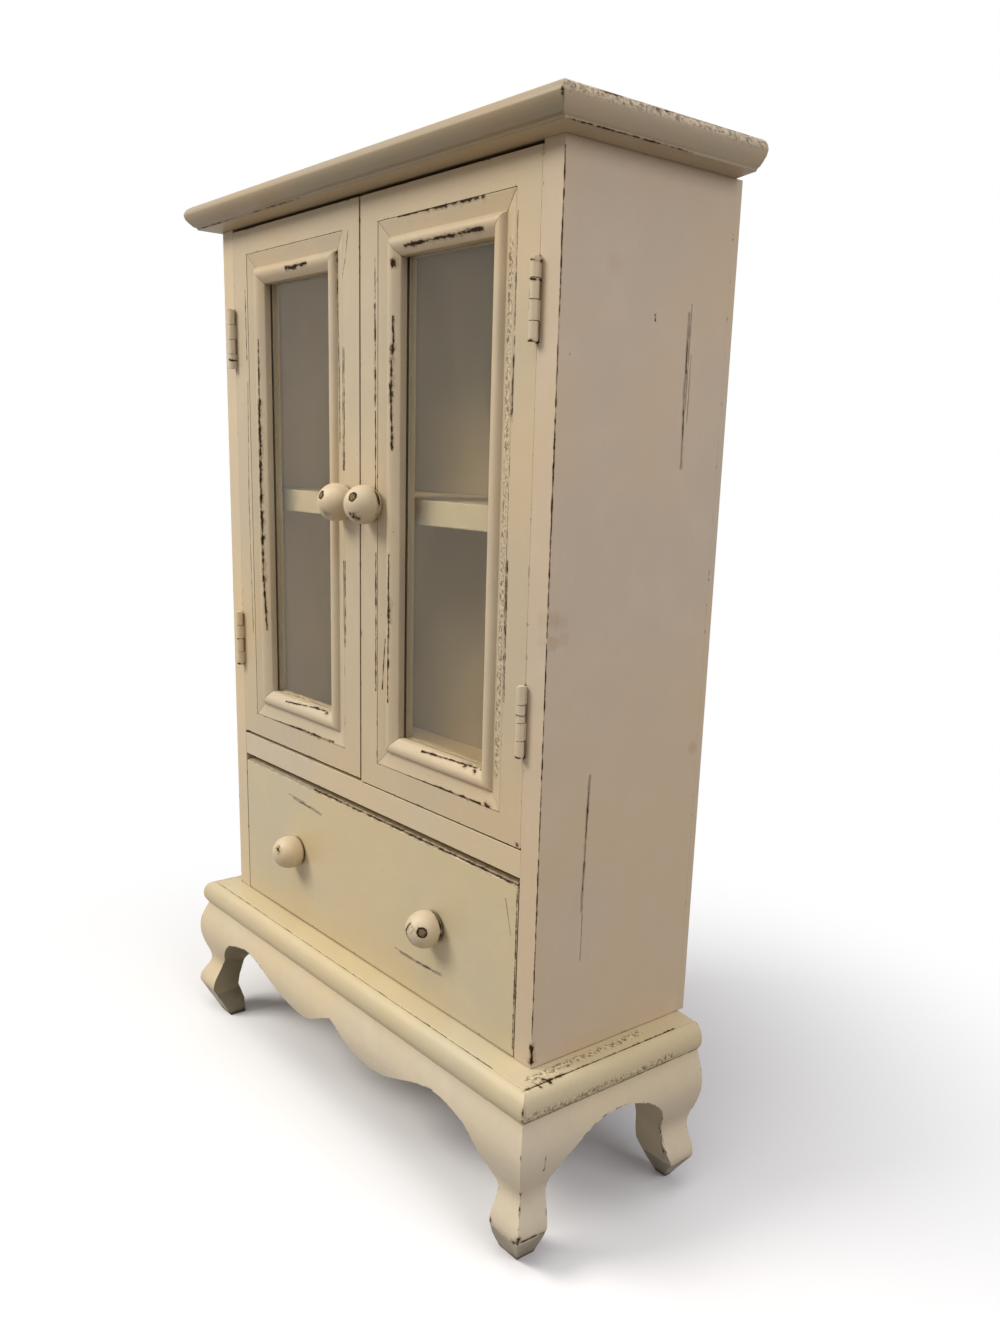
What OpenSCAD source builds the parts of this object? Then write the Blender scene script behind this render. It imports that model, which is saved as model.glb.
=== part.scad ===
/* [Carcass] */
// outside width of the cupboard body, across the two side panels
body_w = 228; // [215:1:245]
// depth of the cupboard body, back panel included
body_d = 80; // [76:1:96]
// height of the cupboard body, from the plinth ledge to the underside of the top
body_h = 305; // [290:1:330]
// thickness of each side panel
side_t = 9.5; // [9:0.5:11]
// thickness of the sheet nailed on behind
back_t = 3; // [2:0.5:4]
// height of the drawer opening above the ledge
drawer_open_h = 69.4; // [64:0.2:76]
// thickness of the board between the drawer and the display space
divider_t = 10.2; // [8:0.2:12]
// thickness of the display shelf
shelf_t = 9.5; // [6:0.5:10]
// height of the shelf's top face above the ledge
shelf_z = 195.5; // [180:0.5:210]
// how far the shelf's front edge stands back from the front plane
shelf_set_back = 12.5; // [12:0.5:20]
// height of the strip that stops the doors under the top
stop_h = 6; // [4:0.5:8]
// thickness of the strip that stops the doors
stop_t = 6; // [4:0.5:8]

/* [Top board] */
// thickness of the moulded top board
top_t = 10.5; // [10:0.5:14]
// how far the nose of the top board stands out over the front and the sides
top_over = 12.6; // [9:0.2:15]

/* [Base] */
// height of the base, from the floor to the ledge the body stands on
base_h = 70.5; // [66:0.5:78]
// thickness of the plinth board with the bead
plinth_t = 12; // [11.2:0.2:13]
// how far the bead stands out in front of the body
bead_out = 14.6; // [13:0.2:16]
// how far the curved base starts out in front, right under the bead
crease_out = 12.6; // [11:0.2:13.4]
// how far the knee stands out in front
knee_out = 16.2; // [14:0.2:17]
// how far the ankle stands out in front
ankle_out = 12.3; // [11:0.1:13]
// how far the toe stands out in front, the front of the whole piece
toe_out = 17; // [15:0.2:19]
// how far the sole stands out at the floor, below the bevel under the toe
tip_out = 9; // [7:0.5:12]
// how much less everything in the base stands out at the sides
side_less = 1.2; // [0:0.1:2]
// how far the back of a rear foot is cut in at its ankle
heel_in = 3.4; // [1:0.2:5]
// how far out of the body's side the inner edge of a rear foot's sole is bevelled
sole_in = 3; // [0:0.5:6]
// how far in from the body's side a front foot meets the front apron
knee_w = 18; // [14:0.5:22]
// how far behind the front plane a front foot meets the side apron
knee_d = 9; // [7:0.5:12]
// height of the rail between the rear feet
back_rail_h = 13; // [8:0.5:18]
// thickness of the rail between the rear feet
back_rail_t = 12; // [8:0.5:14]

/* [Doors] */
// thickness of the door frames
door_t = 9.5; // [9:0.5:11]
// gap beside a door at its hinges
hinge_gap = 0.6; // [0.5:0.1:1]
// gap between the two doors
mid_gap = 1; // [0.8:0.1:2]
// gap over the doors
door_top_gap = 1.2; // [0.6:0.1:2]
// gap under the right door
door_low_gap = 0.6; // [0.5:0.1:1.5]
// how much higher the left door ends, as it was hung
left_lift = 0.9; // [0:0.1:1.5]
// width of the plain outer band of a stile
stile_w = 11.8; // [11.6:0.2:14]
// height of the plain outer band of a rail
rail_w = 10; // [8:0.5:13]
// width of the moulding let into the frame
mould_w = 13; // [12:0.2:15]
// width of the moulding's bead, from its quirk to the sight edge
bead_w = 7.4; // [6:0.2:8]
// how high the bead of the moulding stands over the face
mould_up = 0.8; // [0.2:0.1:1.4]
// depth of the glass behind the face
glass_in = 4.4; // [4:0.1:4.8]
// thickness of the glass
glass_t = 2; // [1.5:0.1:2.4]
// width of the ledge the glass lies against
rebate_w = 3; // [2:0.1:4]

/* [Hinges] */
// length of a butt hinge
hinge_l = 25; // [20:1:30]
// radius of a hinge knuckle
knuckle_r = 1.6; // [1.4:0.1:2]
// radius of a hinge pin
pin_r = 0.75; // [0.6:0.05:0.9]
// running clearance of a knuckle round its pin
pin_clear = 0.05; // [0.03:0.01:0.1]
// thickness of a hinge leaf
leaf_t = 0.8; // [0.6:0.1:0.9]
// depth of a hinge leaf behind the face
leaf_d = 7.8; // [6:0.2:8.4]
// height of the upper hinge's middle above the ledge
hinge_up_z = 259.5; // [240:0.5:275]
// height of the lower hinge's middle above the ledge
hinge_low_z = 125.5; // [110:0.5:140]
// radius of a hinge screw's shank
screw_r = 0.6; // [0.5:0.1:0.8]
// radius of a hinge screw's head
screw_head_r = 1.25; // [1.1:0.05:1.5]
// length of a hinge screw in the wood
screw_l = 6; // [4:0.5:7]

/* [Knobs] */
// radius of a knob's ball
knob_r = 7.4; // [6:0.2:8]
// how far the middle of the ball stands in front of the face
knob_out = 5; // [4:0.2:6]
// height of the door knobs above the ledge
door_knob_z = 193; // [170:1:210]
// distance of a door knob from the middle line
door_knob_x = 10; // [9:0.2:10.2]
// distance of a drawer knob from the middle line
drawer_knob_x = 54; // [40:1:70]
// height of the drawer knobs above the ledge
drawer_knob_z = 34; // [30:1:38]
// radius of a knob screw's shank
knob_screw_r = 1; // [0.8:0.1:1.2]
// radius of a knob screw's head
knob_head_r = 2.6; // [2:0.1:3]
// how deep a knob screw goes into the knob
knob_bite = 7; // [5:0.5:9]

/* [Drawer] */
// thickness of the drawer front
front_t = 9.5; // [8:0.5:11]
// gap beside the drawer front
drawer_gap = 0.6; // [0.4:0.1:1]
// gap over the drawer front
drawer_top_gap = 2.5; // [1:0.1:3.5]
// gap under the drawer front
drawer_low_gap = 0.6; // [0.5:0.1:1]
// radius of the front's two upper corners
drawer_corner = 2.5; // [1:0.1:4]
// bevel along the front's upper edge
drawer_bevel = 1.2; // [0.4:0.1:2]
// thickness of the drawer's sides and back
box_t = 6; // [4:0.5:8]
// height of the drawer's sides and back
box_h = 48; // [40:1:54]
// thickness of the drawer's bottom
box_floor_t = 3; // [2:0.5:4]
// room between the drawer's back and the cupboard's back
drawer_room = 5; // [3:0.5:8]

/* [Hidden] */

cream = [0.80, 0.72, 0.57];
inside_grey = [0.66, 0.62, 0.53];
raw_board = [0.50, 0.38, 0.25];
raw_wood = [0.72, 0.58, 0.40];
pane_tint = [0.62, 0.66, 0.62, 0.35];
hinge_metal = [0.74, 0.67, 0.53];
steel = [0.55, 0.54, 0.51];

half_w = body_w / 2;
open_x = half_w - side_t;
front_y = (toe_out - body_d) / 2;
back_y = front_y + body_d;
panel_y = back_y - back_t;
deep = panel_y - front_y;
ledge_z = base_h;
under_top = ledge_z + body_h;
side_shift = half_w - side_less;
door_z0 = ledge_z + drawer_open_h + divider_t + door_low_gap;
door_z1 = under_top - door_top_gap;
door_x0 = mid_gap / 2;
door_x1 = open_x - hinge_gap;
hinge_x = open_x - hinge_gap / 2;
hinge_y = front_y - knuckle_r - 0.3;
knuckle_l = hinge_l / 4;
knuckle_gap = 0.3;
leaf_space = 0.1;
recess = hinge_gap / 2 - leaf_space;
leaf_in = leaf_t - recess;
screw_zs = [hinge_l * 0.22, hinge_l * 0.78];
screw_y = front_y + leaf_d * 0.6;
drawer_x = open_x - drawer_gap;
box_x = drawer_x - 0.4;
box_y1 = panel_y - drawer_room;
box_z0 = ledge_z + 1;
drawer_z0 = ledge_z + drawer_low_gap;
drawer_z1 = ledge_z + drawer_open_h - drawer_top_gap;
joint_x = half_w - knee_w;
joint_front_y = front_y + knee_d;
joint_back_y = front_y + body_d * 0.65;
heel_y = panel_y - heel_in;
far = 400;

function ease(a, b, t) = a + (b - a) * (1 - cos(180 * t)) / 2;
function swell(a, b, t) = a + (b - a) * sin(90 * t);
function fall(a, b, t) = a + (b - a) * (1 - cos(90 * t));

// The moulded edge of the top board as [out, up], from its underside round the nose.
top_edge = [[0, 0], [top_over - 4.4, 0.9], [top_over - 4.2, 1.6], [top_over - 3, 2.2], [top_over - 1.6, 3.7],
  [top_over - 0.5, 5.1], [top_over - 0.05, 6.5], [top_over, top_t - 3.4], [top_over - 0.4, top_t - 2.2],
  [top_over - 1.2, top_t - 1.1], [top_over - 2.5, top_t - 0.35], [top_over - 4, top_t]];

// The edge of the plinth board: ledge, scored groove and bead, as [out, up].
plinth_edge = [[0, 0], [bead_out - 5.3, -0.8], [bead_out - 4.9, -1.4], [bead_out - 4.5, -0.9],
  [bead_out - 3.2, -1.2], [bead_out - 1.9, -2.1], [bead_out - 0.8, -3.7], [bead_out - 0.2, -5.6],
  [bead_out, -7.4], [bead_out - 0.2, -9.1], [bead_out - 0.8, -10.4], [bead_out - 1.6, 0.4 - plinth_t],
  [bead_out - 1.8, -plinth_t]];

// The bow of the base from the crease over knee and ankle to the toe, as [out, up].
bow = concat(
  [for (i = [0:7]) [swell(crease_out, knee_out, i / 8), -plinth_t - (0.362 * base_h - plinth_t) * i / 8]],
  [for (i = [0:11]) [ease(knee_out, ankle_out, i / 12), -base_h * (0.362 + 0.284 * i / 12)]],
  [for (i = [0:10]) [ease(ankle_out, toe_out, i / 10), -base_h * (0.646 + 0.205 * i / 10)]],
  [[toe_out - 0.5, -base_h * 0.872], [tip_out, -base_h]]);

// The scrolled lower edge of the front apron for half its width, as [share of the half, share of the base].
function scroll_up(x) = x < 0.286 ?
  -base_h * (0.335 + 0.138 * (0.5 * sin(90 * x / 0.286) + 0.25 * (1 - cos(180 * x / 0.286)))) :
  x < 0.8125 ? -base_h * ease(0.473, 0.304, (x - 0.286) / 0.5265) :
  -base_h * fall(0.304, 0.352, (x - 0.8125) / 0.1875);
scroll = [for (i = [0:40]) [joint_x * i / 40, scroll_up(i / 40)]];

// The inner line of a front foot, as [share of the knee's width, share of the base].
foot_line = [[1, 0.352], [0.89, 0.372], [0.78, 0.397], [0.67, 0.426], [0.555, 0.461], [0.455, 0.500],
  [0.36, 0.543], [0.265, 0.578], [0.178, 0.611], [0.1, 0.642], [0.055, 0.676], [0.033, 0.715],
  [0.022, 0.760], [0.011, 0.81], [0, 0.86], [-0.03, 0.93], [-0.08, 1]];

// The rear line of a front foot seen from the side, as [share of the knee's depth, share of the base].
foot_side = [[1, 0.397], [0.8, 0.415], [0.6, 0.438], [0.4, 0.467], [0.222, 0.503], [0.089, 0.544], [0, 0.590],
  [-0.044, 0.640], [-0.089, 0.690], [-0.178, 0.740], [-0.289, 0.785], [-0.34, 0.83],
  [-0.42, 0.9], [-0.56, 1]];

// The arch of a side apron, as [share of the way between the feet, share of the base].
arch = [for (i = [0:24]) [i / 24, 0.285 + 0.112 * pow(abs(i / 24 - 0.52) / 0.52, 2.2)]];

// The front line of a rear foot seen from the side, as [behind its joint, share of the base].
heel_line = [[0, 0.378], [1.4, 0.396], [2.8, 0.418], [4.1, 0.449], [5.2, 0.490], [6, 0.54], [6.6, 0.60],
  [6.8, 0.66], [6.8, 0.73], [7.6, 0.80], [9.4, 0.86], [12.6, 0.93], [17, 1]];

// A length along X whose section is drawn in Y and Z.
module along_x(x0, x1) {
  translate([x0, 0, 0])
    rotate([90, 0, 90])
      linear_extrude(height = x1 - x0)
        children();
}

// A length along Y whose section is drawn in X and Z.
module along_y(y0, y1) {
  translate([0, y1, 0])
    rotate([90, 0, 0])
      linear_extrude(height = y1 - y0)
        children();
}

module both_ways(edge, up, low, lift, less) {
  intersection() {
    along_x(-far, far)
      polygon(concat([for (p = edge) [front_y - p[0], lift + p[1]]], [[panel_y, lift + up], [panel_y, lift + low]]));
    along_y(-far, far)
      polygon(concat([for (p = edge) [half_w - less + p[0], lift + p[1]]],
        [for (i = [len(edge) - 1:-1:0]) [-(half_w - less + edge[i][0]), lift + edge[i][1]]]));
  }
}

module top_board() {
  color(cream)
    both_ways(top_edge, top_t, 0, under_top, 0);
}

module side_panel() {
  color(cream)
    difference() {
      translate([open_x, front_y, ledge_z])
        cube([side_t, deep, body_h]);
      for (z = [hinge_up_z, hinge_low_z]) {
        translate([open_x - 1, front_y - 1, ledge_z + z - hinge_l / 2 - 0.2])
          cube([1 + leaf_in, 1.3 + leaf_d, hinge_l + 0.4]);
        for (s = screw_zs)
          translate([open_x, screw_y, ledge_z + z - hinge_l / 2 + s])
            rotate([0, 90, 0])
              cylinder(r = screw_r, h = screw_l + 0.2, $fn = 24);
      }
    }
}

module side_panel_right() {
  side_panel();
}

module side_panel_left() {
  mirror([1, 0, 0])
    side_panel();
}

module back_panel() {
  color(raw_board)
    translate([-half_w, panel_y, ledge_z])
      cube([body_w, back_t, body_h]);
}

module shelf() {
  color(inside_grey)
    translate([-open_x, front_y + shelf_set_back, ledge_z + shelf_z - shelf_t])
      cube([2 * open_x, deep - shelf_set_back, shelf_t]);
}

module drawer_divider() {
  color(cream)
    translate([-open_x, front_y, ledge_z + drawer_open_h])
      cube([2 * open_x, deep, divider_t]);
}

module door_stop() {
  color(inside_grey)
    translate([-open_x, front_y + door_t + 0.6, under_top - stop_h])
      cube([2 * open_x, stop_t, stop_h]);
}

module plinth_board() {
  color(cream)
    intersection() {
      along_x(-far, far)
        polygon(concat([for (p = plinth_edge) [front_y - p[0], ledge_z + p[1]]],
          [[panel_y, ledge_z - plinth_t], [panel_y, ledge_z]]));
      along_y(-far, far)
        polygon(concat([for (p = plinth_edge) [side_shift + p[0], ledge_z + p[1]]],
          [for (i = [len(plinth_edge) - 1:-1:0]) [-(side_shift + plinth_edge[i][0]), ledge_z + plinth_edge[i][1]]]));
    }
}

// The bow as a bar along X, from its outer face back to the given Y.
module bow_front(inner_y) {
  along_x(-far, far)
    polygon(concat([for (p = bow) [front_y - p[0], ledge_z + p[1]]], [[inner_y, 0], [inner_y, ledge_z - plinth_t]]));
}

// The bow as a bar along Y, from its outer face in to the given X.
module bow_side(inner_x) {
  along_y(-far, far)
    polygon(concat([for (p = bow) [side_shift + p[0], ledge_z + p[1]]], [[inner_x, 0], [inner_x, ledge_z - plinth_t]]));
}

module front_apron() {
  color(cream)
    intersection() {
      bow_front(front_y);
      along_y(-far, far)
        polygon(concat([for (i = [len(scroll) - 1:-1:0]) [-scroll[i][0], ledge_z + scroll[i][1]]],
          [for (i = [1:len(scroll) - 1]) [scroll[i][0], ledge_z + scroll[i][1]]],
          [[joint_x, ledge_z - plinth_t], [-joint_x, ledge_z - plinth_t]]));
    }
}

module side_apron() {
  run = joint_back_y - joint_front_y;
  color(cream)
    intersection() {
      bow_side(side_shift);
      along_x(-far, far)
        polygon(concat([for (p = arch) [joint_front_y + run * p[0], ledge_z - base_h * p[1]]],
          [[joint_back_y, ledge_z - plinth_t], [joint_front_y, ledge_z - plinth_t]]));
    }
}

module side_apron_right() {
  side_apron();
}

module side_apron_left() {
  mirror([1, 0, 0])
    side_apron();
}

module back_rail() {
  color(raw_wood)
    translate([-side_shift + 1, panel_y - back_rail_t, ledge_z - plinth_t - back_rail_h])
      cube([2 * side_shift - 2, back_rail_t, back_rail_h]);
}

module foot_front() {
  color(cream)
    intersection() {
      bow_front(far);
      bow_side(0);
      along_y(-far, far)
        polygon(concat([for (p = foot_line) [half_w - knee_w * p[0], ledge_z - base_h * p[1]]],
          [[far, 0], [far, ledge_z - plinth_t], [joint_x, ledge_z - plinth_t]]));
      along_x(0, far)
        polygon(concat([for (p = foot_side) [front_y + knee_d * p[0], ledge_z - base_h * p[1]]],
          [[-far, 0], [-far, ledge_z - plinth_t], [joint_front_y, ledge_z - plinth_t]]));
    }
}

module foot_front_right() {
  foot_front();
}

module foot_front_left() {
  mirror([1, 0, 0])
    foot_front();
}

module foot_back() {
  color(cream)
    intersection() {
      bow_side(side_shift - 1);
      along_x(0, far)
        polygon(concat([for (p = heel_line) [joint_back_y + p[0], ledge_z - base_h * p[1]]],
          [[heel_y, 0], [heel_y, 0.3 * base_h], [heel_y + heel_in * 0.6, 0.46 * base_h], [panel_y, 0.6 * base_h],
          [panel_y, ledge_z - plinth_t], [joint_back_y, ledge_z - plinth_t]]));
      along_y(0, far)
        polygon([[side_shift - 1, ledge_z], [side_shift - 1, 0.2 * base_h], [side_shift + sole_in, 0],
          [far, 0], [far, ledge_z]]);
    }
}

module foot_back_right() {
  foot_back();
}

module foot_back_left() {
  mirror([1, 0, 0])
    foot_back();
}

// One leaf with its two knuckles; side is 1 for the body's leaf and -1 for the door's.
module hinge_leaf(mid, side) {
  first = side > 0 ? 1 : 0;
  low = ledge_z + mid - hinge_l / 2;
  plate_x = side > 0 ? hinge_x + leaf_space : hinge_x - leaf_space - leaf_t;
  difference() {
    union() {
      translate([plate_x, front_y + 0.1, low])
        cube([leaf_t, leaf_d, hinge_l]);
      for (k = [first, first + 2]) {
        translate([plate_x, hinge_y, low + k * knuckle_l + knuckle_gap / 2])
          cube([leaf_t, front_y + 0.4 - hinge_y, knuckle_l - knuckle_gap]);
        translate([hinge_x, hinge_y, low + k * knuckle_l + knuckle_gap / 2])
          cylinder(r = knuckle_r, h = knuckle_l - knuckle_gap, $fn = 40);
      }
    }
    translate([hinge_x, hinge_y, low - 1])
      cylinder(r = pin_r + pin_clear, h = hinge_l + 2, $fn = 32);
    for (s = screw_zs)
      translate([hinge_x, screw_y, low + s])
        rotate([0, side * 90, 0]) {
          cylinder(r = screw_r, h = 3, $fn = 24);
          cylinder(r = screw_head_r, h = leaf_space + 0.5, $fn = 32);
        }
  }
}

// The two countersunk screws of one leaf.
module leaf_screws(mid, side) {
  low = ledge_z + mid - hinge_l / 2;
  for (s = screw_zs)
    translate([hinge_x + side * leaf_space, screw_y, low + s])
      rotate([0, side * 90, 0]) {
        cylinder(r = screw_head_r, h = 0.5, $fn = 32);
        translate([0, 0, 0.5])
          cylinder(r = screw_r, h = screw_l - 0.5, $fn = 24);
      }
}

module cabinet_hinge_leaves() {
  color(hinge_metal)
    for (m = [0, 1])
      mirror([m, 0, 0]) {
        hinge_leaf(hinge_up_z, 1);
        hinge_leaf(hinge_low_z, 1);
      }
}

module hinge_pins() {
  color(hinge_metal)
    for (m = [0, 1])
      mirror([m, 0, 0])
        for (z = [hinge_up_z, hinge_low_z])
          translate([hinge_x, hinge_y, ledge_z + z - hinge_l / 2 + knuckle_gap / 2]) {
            cylinder(r = pin_r, h = hinge_l - knuckle_gap, $fn = 32);
            translate([0, 0, hinge_l - knuckle_gap])
              cylinder(r = 1.15, h = 0.4, $fn = 32);
          }
}

module cabinet_hinge_screws() {
  color(steel)
    for (m = [0, 1])
      mirror([m, 0, 0]) {
        leaf_screws(hinge_up_z, 1);
        leaf_screws(hinge_low_z, 1);
      }
}

module hinge_stile(z0) {
  color(cream)
    difference() {
      translate([door_x1 - stile_w, front_y, z0])
        cube([stile_w, door_t, door_z1 - z0]);
      for (z = [hinge_up_z, hinge_low_z]) {
        translate([door_x1 - leaf_in, front_y - 1, ledge_z + z - hinge_l / 2 - 0.2])
          cube([leaf_in + 1, 1.3 + leaf_d, hinge_l + 0.4]);
        for (s = screw_zs)
          translate([door_x1 + 1, screw_y, ledge_z + z - hinge_l / 2 + s])
            rotate([0, -90, 0])
              cylinder(r = screw_r, h = screw_l + 1.2, $fn = 24);
      }
    }
}

module meeting_stile(z0) {
  color(cream)
    difference() {
      translate([door_x0, front_y, z0])
        cube([stile_w, door_t, door_z1 - z0]);
      translate([door_knob_x, front_y - 1, ledge_z + door_knob_z])
        rotate([-90, 0, 0])
          cylinder(r = knob_screw_r, h = door_t + 2, $fn = 24);
    }
}

module rail(z) {
  color(cream)
    translate([door_x0 + stile_w, front_y, z])
      cube([door_x1 - door_x0 - 2 * stile_w, door_t, rail_w]);
}

// The section of the door moulding, as [in from its outer edge, out from the face].
mould = [[0, -door_t], [0, -0.4], [0.4, -0.05], [mould_w - bead_w, -1.3], [mould_w - 0.93 * bead_w, -1.4],
  [mould_w - 0.88 * bead_w, -0.5], [mould_w - 0.8 * bead_w, mould_up - 0.5],
  [mould_w - 0.69 * bead_w, mould_up - 0.1], [mould_w - 0.57 * bead_w, mould_up],
  [mould_w - 0.43 * bead_w, mould_up - 0.2], [mould_w - 0.3 * bead_w, mould_up - 0.8],
  [mould_w - 0.16 * bead_w, mould_up - 1.6], [mould_w - 0.05 * bead_w, mould_up - 2.3],
  [mould_w, -1.9], [mould_w, -glass_in],
  [mould_w - rebate_w, -glass_in], [mould_w - rebate_w, -door_t]];

// The four mitred strips round one pane, a hair apart at the mitres.
module moulding(z0) {
  cut = 0.06;
  xa = door_x0 + stile_w;
  xb = door_x1 - stile_w;
  za = z0 + rail_w;
  zb = door_z1 - rail_w;
  color(cream) {
    intersection() {
      along_x(xa, xb)
        polygon([for (p = mould) [front_y - p[1], za + p[0]]]);
      along_y(-far, far)
        polygon([[xa + cut, za], [xb - cut, za], [xb - cut - mould_w - 1, za + mould_w + 1],
          [xa + cut + mould_w + 1, za + mould_w + 1]]);
    }
    intersection() {
      along_x(xa, xb)
        polygon([for (p = mould) [front_y - p[1], zb - p[0]]]);
      along_y(-far, far)
        polygon([[xa + cut, zb], [xb - cut, zb], [xb - cut - mould_w - 1, zb - mould_w - 1],
          [xa + cut + mould_w + 1, zb - mould_w - 1]]);
    }
    intersection() {
      translate([0, 0, za])
        linear_extrude(height = zb - za)
          polygon([for (p = mould) [xa + p[0], front_y - p[1]]]);
      along_y(-far, far)
        polygon([[xa, za], [xa, zb], [xa + mould_w + 1, zb - mould_w - 1], [xa + mould_w + 1, za + mould_w + 1]]);
    }
    intersection() {
      translate([0, 0, za])
        linear_extrude(height = zb - za)
          polygon([for (p = mould) [xb - p[0], front_y - p[1]]]);
      along_y(-far, far)
        polygon([[xb, za], [xb, zb], [xb - mould_w - 1, zb - mould_w - 1], [xb - mould_w - 1, za + mould_w + 1]]);
    }
  }
}

module glass(z0) {
  in_x = stile_w + mould_w - rebate_w + 0.2;
  in_z = rail_w + mould_w - rebate_w + 0.2;
  color(pane_tint)
    translate([door_x0 + in_x, front_y + glass_in, z0 + in_z])
      cube([door_x1 - door_x0 - 2 * in_x, glass_t, door_z1 - z0 - 2 * in_z]);
}

// The four square strips that hold the pane from behind.
module glazing_beads(z0) {
  cut = 0.06;
  xa = door_x0 + stile_w + mould_w - rebate_w;
  xb = door_x1 - stile_w - mould_w + rebate_w;
  za = z0 + rail_w + mould_w - rebate_w;
  zb = door_z1 - rail_w - mould_w + rebate_w;
  ya = front_y + glass_in + glass_t;
  bead_t = door_t - glass_in - glass_t;
  color(cream) {
    translate([xa, ya, za])
      cube([rebate_w, bead_t, zb - za]);
    translate([xb - rebate_w, ya, za])
      cube([rebate_w, bead_t, zb - za]);
    translate([xa + rebate_w + cut, ya, za])
      cube([xb - xa - 2 * rebate_w - 2 * cut, bead_t, rebate_w]);
    translate([xa + rebate_w + cut, ya, zb - rebate_w])
      cube([xb - xa - 2 * rebate_w - 2 * cut, bead_t, rebate_w]);
  }
}

// A turned knob on the front plane, bored for its screw.
module knob(x, z) {
  color(cream)
    translate([x, front_y, z])
      difference() {
        intersection() {
          translate([0, -knob_out, 0])
            rotate([90, 0, 0])
              sphere(r = knob_r, $fn = 64);
          translate([-knob_r - 1, -knob_out - knob_r - 1, -knob_r - 1])
            cube([2 * knob_r + 2, knob_out + knob_r + 1, 2 * knob_r + 2]);
        }
        translate([0, 1, 0])
          rotate([90, 0, 0])
            cylinder(r = knob_screw_r, h = knob_bite + 1.2, $fn = 24);
      }
}

// A knob's screw, put in from behind through wood of the given thickness.
module knob_screw(x, z, through) {
  translate([x, front_y + through, z])
    rotate([90, 0, 0]) {
      cylinder(r = knob_screw_r, h = through + knob_bite, $fn = 24);
      translate([0, 0, -1.4])
        cylinder(r = knob_head_r, h = 1.4, $fn = 32);
    }
}

module door_hinge_leaves() {
  color(hinge_metal) {
    hinge_leaf(hinge_up_z, -1);
    hinge_leaf(hinge_low_z, -1);
  }
}

module door_hinge_screws() {
  color(steel) {
    leaf_screws(hinge_up_z, -1);
    leaf_screws(hinge_low_z, -1);
  }
}

module door_right_hinge_stile() {
  hinge_stile(door_z0);
}

module door_right_meeting_stile() {
  meeting_stile(door_z0);
}

module door_right_top_rail() {
  rail(door_z1 - rail_w);
}

module door_right_bottom_rail() {
  rail(door_z0);
}

module door_right_moulding() {
  moulding(door_z0);
}

module door_right_glass() {
  glass(door_z0);
}

module door_right_glazing_beads() {
  glazing_beads(door_z0);
}

module door_right_hinge_leaves() {
  door_hinge_leaves();
}

module door_right_hinge_screws() {
  door_hinge_screws();
}

module door_right_knob() {
  knob(door_knob_x, ledge_z + door_knob_z);
}

module door_right_knob_screw() {
  color(steel)
    knob_screw(door_knob_x, ledge_z + door_knob_z, door_t);
}

module door_left_hinge_stile() {
  mirror([1, 0, 0])
    hinge_stile(door_z0 + left_lift);
}

module door_left_meeting_stile() {
  mirror([1, 0, 0])
    meeting_stile(door_z0 + left_lift);
}

module door_left_top_rail() {
  mirror([1, 0, 0])
    rail(door_z1 - rail_w);
}

module door_left_bottom_rail() {
  mirror([1, 0, 0])
    rail(door_z0 + left_lift);
}

module door_left_moulding() {
  mirror([1, 0, 0])
    moulding(door_z0 + left_lift);
}

module door_left_glass() {
  mirror([1, 0, 0])
    glass(door_z0 + left_lift);
}

module door_left_glazing_beads() {
  mirror([1, 0, 0])
    glazing_beads(door_z0 + left_lift);
}

module door_left_hinge_leaves() {
  mirror([1, 0, 0])
    door_hinge_leaves();
}

module door_left_hinge_screws() {
  mirror([1, 0, 0])
    door_hinge_screws();
}

module door_left_knob() {
  knob(-door_knob_x, ledge_z + door_knob_z);
}

module door_left_knob_screw() {
  color(steel)
    knob_screw(-door_knob_x, ledge_z + door_knob_z, door_t);
}

module drawer_front() {
  tall = drawer_z1 - drawer_z0;
  color(cream)
    difference() {
      along_y(front_y, front_y + front_t)
        polygon(concat([[-drawer_x, drawer_z0], [drawer_x, drawer_z0]],
          [for (i = [0:6]) [drawer_x - drawer_corner * (1 - cos(15 * i)),
            drawer_z1 - drawer_corner * (1 - sin(15 * i))]],
          [for (i = [6:-1:0]) [-drawer_x + drawer_corner * (1 - cos(15 * i)),
            drawer_z1 - drawer_corner * (1 - sin(15 * i))]]));
      along_x(-far, far)
        polygon([[front_y - 1, drawer_z1 + 1], [front_y - 1, drawer_z1 - drawer_bevel - 1],
          [front_y + drawer_bevel + 1, drawer_z1 + 1]]);
      for (s = [-1, 1])
        translate([s * drawer_knob_x, front_y - 1, ledge_z + drawer_knob_z])
          rotate([-90, 0, 0])
            cylinder(r = knob_screw_r, h = front_t + 2, $fn = 24);
    }
}

module drawer_side_right() {
  color(raw_wood)
    translate([box_x - box_t, front_y + front_t, box_z0])
      cube([box_t, box_y1 - front_y - front_t, box_h]);
}

module drawer_side_left() {
  mirror([1, 0, 0])
    drawer_side_right();
}

module drawer_back() {
  color(raw_wood)
    translate([-box_x + box_t, box_y1 - box_t, box_z0])
      cube([2 * (box_x - box_t), box_t, box_h]);
}

module drawer_bottom() {
  color(raw_board)
    translate([-box_x + box_t, front_y + front_t, box_z0 + 2])
      cube([2 * (box_x - box_t), box_y1 - box_t - front_y - front_t, box_floor_t]);
}

module drawer_knob_left() {
  knob(-drawer_knob_x, ledge_z + drawer_knob_z);
}

module drawer_knob_right() {
  knob(drawer_knob_x, ledge_z + drawer_knob_z);
}

module drawer_knob_screws() {
  color(steel)
    for (s = [-1, 1])
      knob_screw(s * drawer_knob_x, ledge_z + drawer_knob_z, front_t);
}

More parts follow.
